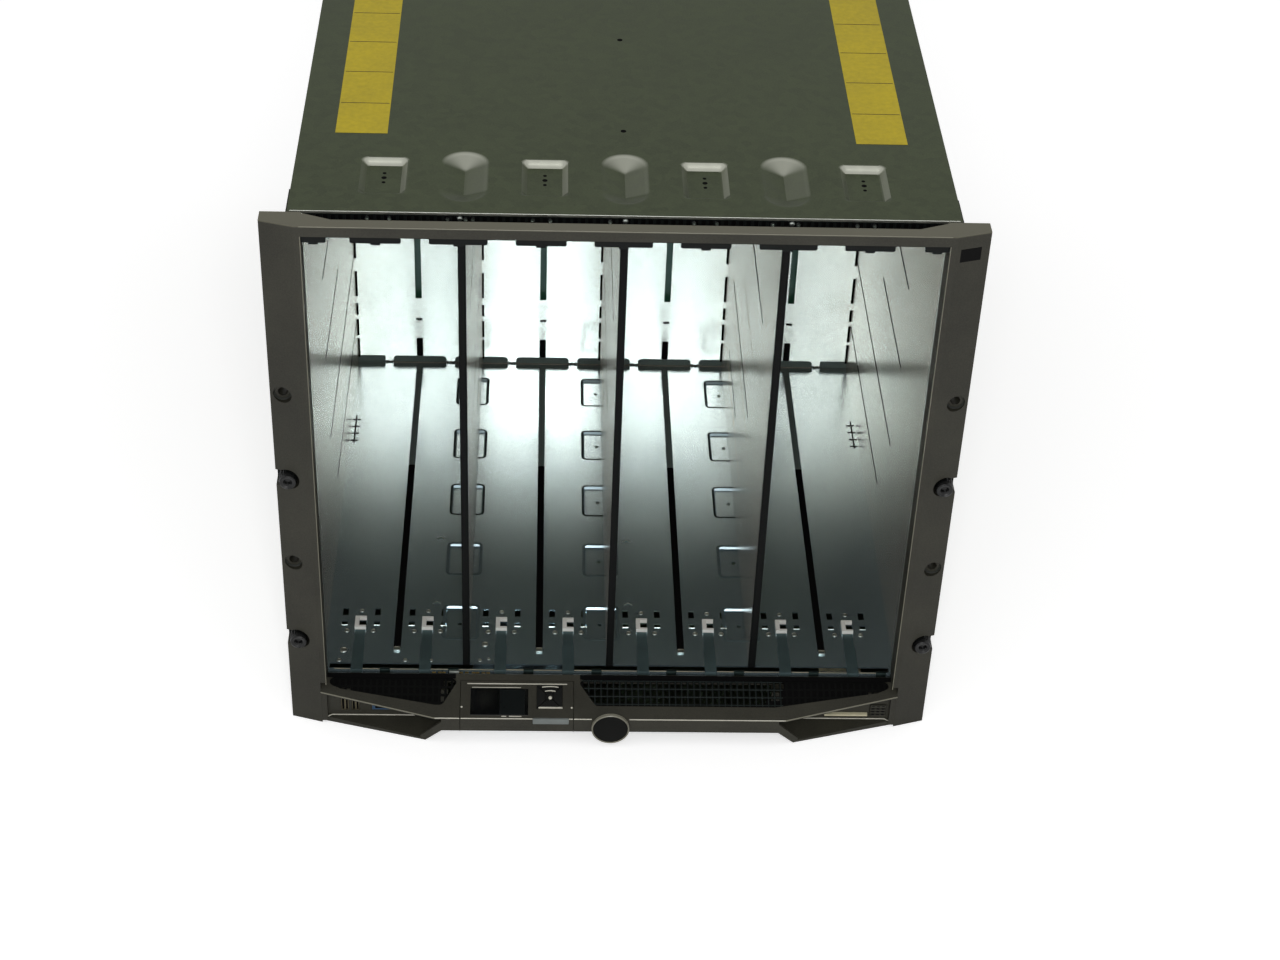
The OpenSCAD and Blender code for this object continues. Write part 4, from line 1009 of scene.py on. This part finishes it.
def bezel_lines():
    """Painted highlights: bright lines along the lower bezel's ridge and the ledges of its recesses."""
    y, z = -RIDGE_Y + LINE_SINK, RIDGE_Z - 0.25
    ledge_y, ledge_z = -RECESS_Y - 0.3, WING_H
    mesh = bmesh.new()
    for left, right in ((-RIDGE_HALF, LCD_LEFT - 0.5), (LCD_RIGHT + 0.5, -BADGE_R),
                        (BADGE_R, RIDGE_HALF)):
        add_rod(mesh, (left, y, z), (right, y, z), LINE_R)
    for side in SIDES:
        bend = (side * 210.8, ledge_y, ledge_z)
        add_rod(mesh, (side * 148.5, ledge_y, ledge_z), bend, LINE_R)
        add_rod(mesh, bend, (side * 216.6, -19.3, 3.9), LINE_R)
    new_piece("ridge_line", mesh, pale_trim_and_highlight(), slot="bezel")


def bezel_edges():
    """Painted highlights: pale lines along the edges of the ridge's ends, of the top bar and of the
    columns.
    """
    y, bar_y, bar_z = -RIDGE_Y + LINE_SINK, -BAR_FRONT + LINE_SINK, BAR_TOP - 0.5
    end_z = LIP_Z - (RIDGE_END_Y - LIP_Y) * math.tan(SLOPE) - 0.2
    mesh = bmesh.new()
    for side in SIDES:
        add_rod(mesh, (side * RIDGE_HALF, y, RIDGE_Z - 0.25),
                (side * NOSE_HALF, -RIDGE_END_Y + 0.3, end_z), 0.5)
    add_rod(mesh, (-OPENING_HALF, bar_y, bar_z), (OPENING_HALF, bar_y, bar_z), 0.5)
    for side in SIDES:
        add_rod(mesh, (side * OPENING_HALF, bar_y, bar_z),
                (side * (EAR_EDGE - 0.6), -COLUMN_EDGE_Y + LINE_SINK, bar_z), 0.5)
        add_rod(mesh, (side * OPENING_HALF, bar_y, LIP_Z),
                (side * OPENING_HALF, bar_y, BAR_BOTTOM), 0.4)
    new_piece("bezel_edges", mesh, textured_plastic("bezel edge highlight", srgb(118, 116, 102), 0.35),
              slot="bezel")


class CHASSIS_OT_bezel_trim(bpy.types.Operator):
    """Adds the painted highlights along the ridge, the ledges and the top bar"""

    bl_idname = "chassis.bezel_trim"
    bl_label = "Bezel trim"

    def execute(self, context):
        bezel_lines()
        ends = [((x - 2.1, -BAR_FRONT - 0.1, 1.9), (x + 2.1, -RECESS_Y + 0.2, 33)) for x in (-216, 216)]
        new_blocks("recess_ends", ends, dressed("lower_bezel"), slot="bezel")
        bezel_edges()
        return {"FINISHED"}


class CHASSIS_OT_grille_trim(bpy.types.Operator):
    """Adds the black strip above the grilles, painted shade behind them and the right one's wires"""

    bl_idname = "chassis.grille_trim"
    bl_label = "Grille trim"

    def execute(self, context):
        top = slope_place(0, 0)
        strips = [((left, -2.6, -0.4), (right, 1.3, 0.12))
                  for left, right in ((-214, LCD_LEFT - 4), (LCD_RIGHT + 5, 214))]
        new_blocks("lip_strip", strips, matt_black(), 0.1, 1, top, slot="strip")
        # Painted shade: black sheets under the grilles.
        backs = [((left, -end, -3.2), (right, -start, -2.05)) for left, right, start, end in (
            (-212, -126, 2.4, 9.5), (132, 212, 2.4, 9.5), (-196, -128, 9.4, 18.5),
            (130, 196, 9.4, 18.5), (-168, -128, 18.4, 24), (118, 168, 18.4, 24))]
        new_blocks("grille_backs", backs, matt_black(), 0, 1, top, slot="strip")
        first_s, step_s, step_x, bottom = 2.5, 6.6, 4.7, -2.1
        wires = []
        for j in range(4):
            s = first_s + step_s * j
            wires.append(((LCD_RIGHT + 6 + 1.6 * j, -s - 0.45, bottom), (131, -s + 0.25, -1.75)))
        for i in range(-4, 28):
            x = (i + 0.5) * step_x
            reach = 23.4 if x > LCD_RIGHT + 14 else 12
            wires.append(((x - 0.4, -reach, bottom), (x + 0.4, -2.4, -1.8)))
        grey = plain_gloss("wire grey", srgb(62, 70, 68), 0.4, 1.0)
        new_blocks("grille_wires", wires, grey, 0.1, 1, top, slot="strip")
        return {"FINISHED"}


class CHASSIS_OT_ports(bpy.types.Operator):
    """Adds painted shade in the mouths of the sockets, the video socket's face, the tag and button
    marks
    """

    bl_idname = "chassis.ports"
    bl_label = "Sockets and power button"

    def execute(self, context):
        # Painted shade: black blocks in the socket mouths.
        mesh = bmesh.new()
        for x in (-201, -193):
            add_block(mesh, (x - 2.1, -RECESS_Y + 0.5, 10), (x - 0.6, -RECESS_Y + 3, 21))
            add_block(mesh, (x + 0.8, -RECESS_Y + 0.5, 10), (x + 2.1, -RECESS_Y + 3, 21))
        add_block(mesh, (-178.5, -RECESS_Y - 0.5, 11), (-165.5, -RECESS_Y + 1, 16.4), 0.8)
        new_piece("socket_mouths", mesh, matt_black(), slot="port")
        shell = [((-180.6, -RECESS_Y - 0.25, 9.6), (-163.4, -RECESS_Y + 1, 17.6))]
        new_blocks("video_socket", shell, plain_gloss("socket blue", srgb(58, 84, 112), 0.4), 0.5,
                   slot="port")
        low, high = node_box("info_tag")
        card = [((low.x, low.y + 6.5, low.z), (high.x, high.y - 0.2, high.z))]
        new_blocks("tag_card", card, dressed("info_tag"), 0.3, body="info_tag", slot="tag",
                   replaced=("info_tag",))
        corner = node_box("power_button")[0]
        step_x, step_z, half_mark = 3.8, 2.8, 1.1
        marks = []
        for i in range(3):
            x = corner.x + 2.2 + step_x * i
            for j in range(4):
                z = 9.6 + step_z * j
                marks.append(((x - half_mark, corner.y - 0.05, z - 0.5),
                              (x + half_mark, corner.y + 0.5, z + 0.5)))
        new_blocks("button_marks", marks, rubber(), 0.1, 1, body="power_button", slot="port")
        return {"FINISHED"}


class CHASSIS_OT_badge(bpy.types.Operator):
    """Makes the blank round badge: a light rim round a dark domed face"""

    bl_idname = "chassis.badge"
    bl_label = "Badge"

    def execute(self, context):
        place = facing((0, node_box("bezel_badge")[0].y, BADGE_Z), (0, -1, 0))
        rim, steps = BADGE_R - 1.1, 64
        mesh = bmesh.new()
        add_turned(mesh, [(rim, -1.0), (rim + 0.3, -0.2), (BADGE_R - 0.6, 0), (BADGE_R, -0.6),
                          (BADGE_R, -2.9), (3, -2.9), (3, -4.9), (0, -4.9)], place, steps)
        new_piece("badge_rim", mesh, plain_gloss("badge rim", srgb(128, 126, 112), 0.35),
                  slot="badge", replaced=("bezel_badge",))
        mesh = bmesh.new()
        add_turned(mesh, [(0, -0.35), (5, -0.4), (10, -0.6), (rim + 0.2, -0.9), (rim + 0.2, -1.5)],
                   place, steps)
        new_piece("badge_face", mesh, plain_gloss("badge black", srgb(10, 11, 9), 0.3, gloss=0.15),
                  slot="badge")
        return {"FINISHED"}


class CHASSIS_OT_thumbscrews(bpy.types.Operator):
    """Makes the knurled thumbscrews"""

    bl_idname = "chassis.thumbscrews"
    bl_label = "Thumbscrews"

    def execute(self, context):
        ribs = context.scene.chassis_hardware.knurl_count
        black = plain_gloss("thumbscrew black", srgb(16, 17, 17), 0.22)
        collar, groove = SHANK_R + 0.3, 0.07
        neck = KNOB_LENGTH + EAR_T + 0.8
        for i in (1, 2, 3, 4):
            name = f"thumbscrew_{i}"
            low, high = node_box(name)
            mid = (low + high) / 2
            knob, length = (high.x - low.x) / 2, high.y - low.y
            mesh = bmesh.new()
            add_turned(mesh, [(0, 3.2), (2.4, 3.2), (2.4, 1.6), (3.2, 0.6), (knob - 1.6, 0),
                              (knob - 0.7, 0.5), (knob - 0.5, 1.6), (knob, 2.2), (knob, 11),
                              (knob - 0.6, 11.6), (knob - 1.2, 12.4),
                              (knob - 1.2, KNOB_LENGTH - 0.8), (knob - 0.5, KNOB_LENGTH),
                              (collar, KNOB_LENGTH), (collar, neck), (SHANK_R, neck),
                              (SHANK_R, length - 0.4), (SHANK_R - 0.4, length), (0, length)],
                       facing((mid.x, low.y, mid.z), (0, 1, 0)), 2 * ribs)
            for v in mesh.verts:
                arm = Vector((v.co.x - mid.x, 0, v.co.z - mid.z))
                turn = round(math.atan2(arm.z, arm.x) / math.tau * 2 * ribs)
                if arm.length > knob - 0.1 and turn % 2:
                    v.co -= arm * groove
            new_piece(f"knob_{i}", mesh, black, body=name, slot="knob", replaced=(name,))
        return {"FINISHED"}


class CHASSIS_OT_rack_hole_rims(bpy.types.Operator):
    """Lines the rack holes with dark washers"""

    bl_idname = "chassis.rack_hole_rims"
    bl_label = "Rack hole washers"

    def execute(self, context):
        x, y = EAR_EDGE - HOLE_INSET, -COLUMN_EDGE_Y + HOLE_SINK - 0.6
        mesh = bmesh.new()
        for side in SIDES:
            for z in HOLE_HEIGHTS:
                add_turned(mesh, [(6.45, -0.4), (6.3, -1.6), (6.0, -1.8), (5.7, -1.4), (5.2, 0.2),
                                  (3.6, 0.6), (3.5, 2)], facing((side * x, y, z), (0, 1, 0)), 28)
        new_piece("rack_hole_washers", mesh, plain_gloss("washer black", srgb(52, 54, 50), 0.3),
                  slot="ear")
        return {"FINISHED"}


class CHASSIS_OT_top_strip(bpy.types.Operator):
    """Adds the small screws of the intake strip, the dimples of its tabs and the painted shadow behind
    it under the cover's edge
    """

    bl_idname = "chassis.top_strip"
    bl_label = "Intake strip"

    def execute(self, context):
        size = context.scene.chassis_hardware.screw_head / MM
        face, screw_z, dimple_z, forward = 1.2, 435.4, 436.2, (0, -1, 0)
        mesh = bmesh.new()
        for x in (-171.2, -156.6, -118.2, -106.4, -101.6, -62.1, -50.5, -10.9,
                  44.8, 59.9, 97.1, 114.2, 153.6, 165.2):
            add_screw(mesh, (x, face, screw_z), forward, 0.55 * size, 1.2)
        for x in (-110.2, -0.7, 109.9):
            add_dome(mesh, (x, face, dimple_z), forward, 0.8 * size, 2.2)
        new_piece("strip_screws", mesh, edge_steel(), slot="port")
        # Painted shadow: a black sheet behind the strip, under the cover's edge.
        new_blocks("strip_shadow", [((-213.6, 2.3, 432.5), (213.6, 2.9, 438.7))], matt_black(),
                   slot="strip")
        return {"FINISHED"}


class CHASSIS_OT_labels(bpy.types.Operator):
    """Lays the bare labels on the cover and on the right column"""

    bl_idname = "chassis.labels"
    bl_label = "Bare labels"

    def execute(self, context):
        half = context.scene.chassis_hardware.label_width / MM / 2
        colour = tuple(context.scene.chassis_finish.label_colour)
        film = textured_plastic("cover label", colour, 0.45, 0.004, 0.00002, 0.12)
        back, label_length = 345, 46
        bare = [((x - half, front, BODY_H - 0.05), (x + half, back, BODY_H + 0.12))
                for x, front in LABEL_ROWS]
        new_blocks("cover_labels", bare, film, slot="cover")
        rules = [((x - half + 1, y, BODY_H + 0.1), (x + half - 1, y + 0.7, BODY_H + 0.16))
                 for x, front in LABEL_ROWS for y in range(front + 42, back - 15, label_length)]
        new_blocks("label_rules", rules, plain_gloss("label black", srgb(30, 28, 16), 0.6),
                   slot="cover")
        lean = math.atan2(BAR_FRONT - COLUMN_EDGE_Y, EAR_EDGE - NOSE_HALF)
        place = Matrix.Translation((NOSE_HALF, -BAR_FRONT, 0)) @ Matrix.Rotation(lean, 4, "Z")
        new_blocks("column_label", [((3.2, -0.15, 420.5), (18.2, 0.1, 430.5))],
                   plain_gloss("column label black", srgb(8, 8, 8), 0.5, gloss=0.1), 0.1, 1, place,
                   slot="bezel")
        return {"FINISHED"}


# ---------- display module ----------


def display_trim(top, outward):
    """The bright lines and marks on the display housing, painted highlights on its edges, keypad and
    screen, and its screws.
    """
    y, z = -RIDGE_Y + LINE_SINK, RIDGE_Z - 0.25
    mesh = bmesh.new()
    add_block(mesh, (-108.2, -7.3, -0.2), (-32.8, -6.5, 0.4), 0.2, 2, top)
    add_block(mesh, (-104.6, -10.3, -0.2), (-67.7, -9.8, 0.2), 0.1, 2, top)
    add_rod(mesh, (LCD_LEFT + 0.5, y, z), (-58.6, y, z), LINE_R)
    add_rod(mesh, (-31.3, y, z), (LCD_RIGHT - 0.5, y, z), LINE_R)
    add_block(mesh, (-54.3, -27.6, 0), (-36.2, -26.4, 0.9), 0.15, 2, top)
    add_block(mesh, (-82, -34.6, 0), (-78.4, -33.9, 0.3), 0.1, 1, top)
    add_block(mesh, (-76.4, -34.6, 0), (-67, -33.9, 0.3), 0.1, 1, top)
    for x in (-112, -29.2):
        add_dome(mesh, slope_place(x, 26.6).translation, outward, 0.8, 0.5)
    new_piece("display_trim", mesh, pale_trim_and_highlight(), body="lcd_housing", slot="bezel")


def key_highlights(outward):
    """Painted highlights: two arcs on the upper key and a dot on the middle one."""
    steps = 4
    mesh = bmesh.new()
    for half, s, rise, radius in ((6.2, 9.5, 0.6, 0.4), (4.0, 13.0, 0.6, 0.42)):
        path = [slope_place(KEYS_X + half * t / steps, s + rise * (t / steps) ** 2, 1.3).translation
                for t in range(-steps, steps + 1)]
        for start, end in zip(path, path[1:]):
            add_rod(mesh, start, end, radius, 6)
    new_piece("key_arcs", mesh, pale_trim_and_highlight(), body="key_up", slot="select")
    mesh = bmesh.new()
    add_dome(mesh, slope_place(KEYS_X, KEYS_S + 1.5, 1.0).translation, outward, 1.4, 0.6, 12)
    new_piece("select_dot", mesh, pale_trim_and_highlight(), body="key_select", slot="select")


class CHASSIS_OT_display(bpy.types.Operator):
    """Adds the display module's painted highlights on its edges and keys, its screen, painted shade in
    its seams and its finger tab
    """

    bl_idname = "chassis.display"
    bl_label = "Display module"

    def execute(self, context):
        top = slope_place(0, 0)
        outward = (0, -math.sin(SLOPE), math.cos(SLOPE))
        display_trim(top, outward)
        key_highlights(outward)
        new_blocks("screen_sheet", [((-105.5, -33.3, -0.9), (-62, -11, 0.12))],
                   dressed("lcd_window"), 0.1, 1, top,
                   body="lcd_housing", slot="window", replaced=("lcd_window",))
        # Painted shade: black blocks in the gaps beside the module.
        seams = [((x - 0.18, -RIDGE_Y + 0.6, 11.6), (x + 0.18, -RIDGE_Y + 4, RIDGE_Z - 0.8))
                 for x in (LCD_LEFT - 0.2, LCD_RIGHT + 0.2)]
        new_blocks("module_seams", seams, matt_black(), slot="bezel")
        new_blocks("screen_glow", [((-83.5, -32.9, 0), (-64.5, -11.7, 0.2))],
                   plain_gloss("screen grey", srgb(15, 19, 19), 0.3, gloss=0.15), 0, 1, top,
                   body="lcd_housing", slot="select")
        tab = [((-58.5, -RIDGE_Y - 1.0, RIDGE_Z - 4.6), (-31.4, -RIDGE_Y + 0.9, RIDGE_Z + 0.5))]
        new_blocks("finger_tab", tab, plain_gloss("tab grey", srgb(112, 118, 116), 0.4), 0.5,
                   body="lcd_housing", slot="select")
        return {"FINISHED"}


# ---------- rear ----------


def supply_details(rear, lamp):
    """The inlet pins and the status lamps of each power supply."""
    for i in range(1, 7):
        name = f"psu_{i}"
        low, high = node_box(name)
        x, z = (low.x + high.x) / 2, low.z + 21
        deep, half_pin = 6.1, 2.4
        pins = [((x + dx - 1, rear - deep, z + dz - half_pin),
                 (x + dx + 1, rear - 1, z + dz + half_pin)) for dx, dz in ((-5, -2), (0, 3), (5, -2))]
        new_blocks(f"inlet_pins_{i}", pins, edge_steel(), 0.2, body=name, slot="psu")
        mesh = bmesh.new()
        for dz in (-5, 0, 5):
            add_dome(mesh, (x + 20, rear, z + dz), (0, 1, 0), 1.5, 0.8)
        new_piece(f"psu_lamps_{i}", mesh, lamp, body=name, slot="psu")


def fan_details(lamp):
    """The latch and the status lamp of each fan module."""
    grey = textured_plastic("latch grey", srgb(72, 75, 73), 0.45)
    for i in range(1, 10):
        name = f"fan_module_{i}"
        low, high = node_box(name)
        latch = [((high.x - 21, high.y - 0.3, low.z + 3), (high.x - 4, high.y + 1.6, low.z + 9))]
        new_blocks(f"fan_latch_{i}", latch, grey, 0.5, body=name, slot="fan")
        mesh = bmesh.new()
        add_dome(mesh, (low.x + 6.5, high.y, low.z + 6.5), (0, 1, 0), 1.8, 0.9)
        new_piece(f"fan_lamp_{i}", mesh, lamp, body=name, slot="fan")


def blank_screws(rear):
    """The screws of the blanks beside the fan modules: three columns of two on each side."""
    low, high = node_box("rear_blanks")
    fans = [node_box(f"fan_module_{i}") for i in range(1, 10)]
    inner = min(abs(corner.x) for box in fans for corner in box if abs(corner.x) > 10)
    step = (high.x - inner) / 3
    mesh = bmesh.new()
    for side in SIDES:
        for k in range(3):
            for z in (low.z + 6, high.z - 38):
                add_screw(mesh, (side * (inner + (k + 0.5) * step), rear, z), (0, 1, 0), 3.2, 1.6)
    new_piece("blank_screws", mesh, edge_steel(), slot="blank")


class CHASSIS_OT_rear_details(bpy.types.Operator):
    """Adds the supplies' inlet pins, the modules' latches and lamps and the blanks' screws"""

    bl_idname = "chassis.rear_details"
    bl_label = "Rear details"

    def execute(self, context):
        lamp = plain_gloss("status lamp", srgb(70, 128, 74), 0.25)
        rear = node_box("rear_blanks")[1].y
        supply_details(rear, lamp)
        fan_details(lamp)
        blank_screws(rear)
        return {"FINISHED"}


# ---------- panel and run ----------


class CHASSIS_PT_panel(bpy.types.Panel):
    """Lists the chassis's pieces and their settings"""

    bl_idname = "CHASSIS_PT_panel"
    bl_label = "Blade server chassis"
    bl_space_type = "VIEW_3D"
    bl_region_type = "UI"
    bl_category = "Chassis"

    def draw(self, context):
        for owner in GROUPS:
            group = getattr(context.scene, owner)
            for name in group.__annotations__:
                self.layout.prop(group, name)
        for operator in PIECES:
            self.layout.operator(operator.bl_idname)


PIECES = (
    CHASSIS_OT_stage,
    CHASSIS_OT_sheet_metal,
    CHASSIS_OT_cover,
    CHASSIS_OT_mouldings,
    CHASSIS_OT_divider_edges,
    CHASSIS_OT_back_panel,
    CHASSIS_OT_bay_edges,
    CHASSIS_OT_floor_fittings,
    CHASSIS_OT_bezel_trim,
    CHASSIS_OT_grille_trim,
    CHASSIS_OT_ports,
    CHASSIS_OT_badge,
    CHASSIS_OT_thumbscrews,
    CHASSIS_OT_rack_hole_rims,
    CHASSIS_OT_top_strip,
    CHASSIS_OT_labels,
    CHASSIS_OT_display,
    CHASSIS_OT_rear_details,
)
CLASSES = (ChassisFinish, HardwareSizes, StageSetup) + PIECES + (CHASSIS_PT_panel,)
GROUPS = {
    "chassis_finish": ChassisFinish,
    "chassis_hardware": HardwareSizes,
    "chassis_stage": StageSetup,
}


def register():
    for cls in CLASSES:
        bpy.utils.register_class(cls)
    for name, group in GROUPS.items():
        setattr(bpy.types.Scene, name, bpy.props.PointerProperty(type=group))


def unregister():
    for name in GROUPS:
        delattr(bpy.types.Scene, name)
    for cls in reversed(CLASSES):
        bpy.utils.unregister_class(cls)


def main():
    register()
    for operator in PIECES:
        group, name = operator.bl_idname.split(".")
        getattr(getattr(bpy.ops, group), name)()


if __name__ == "__main__":
    main()
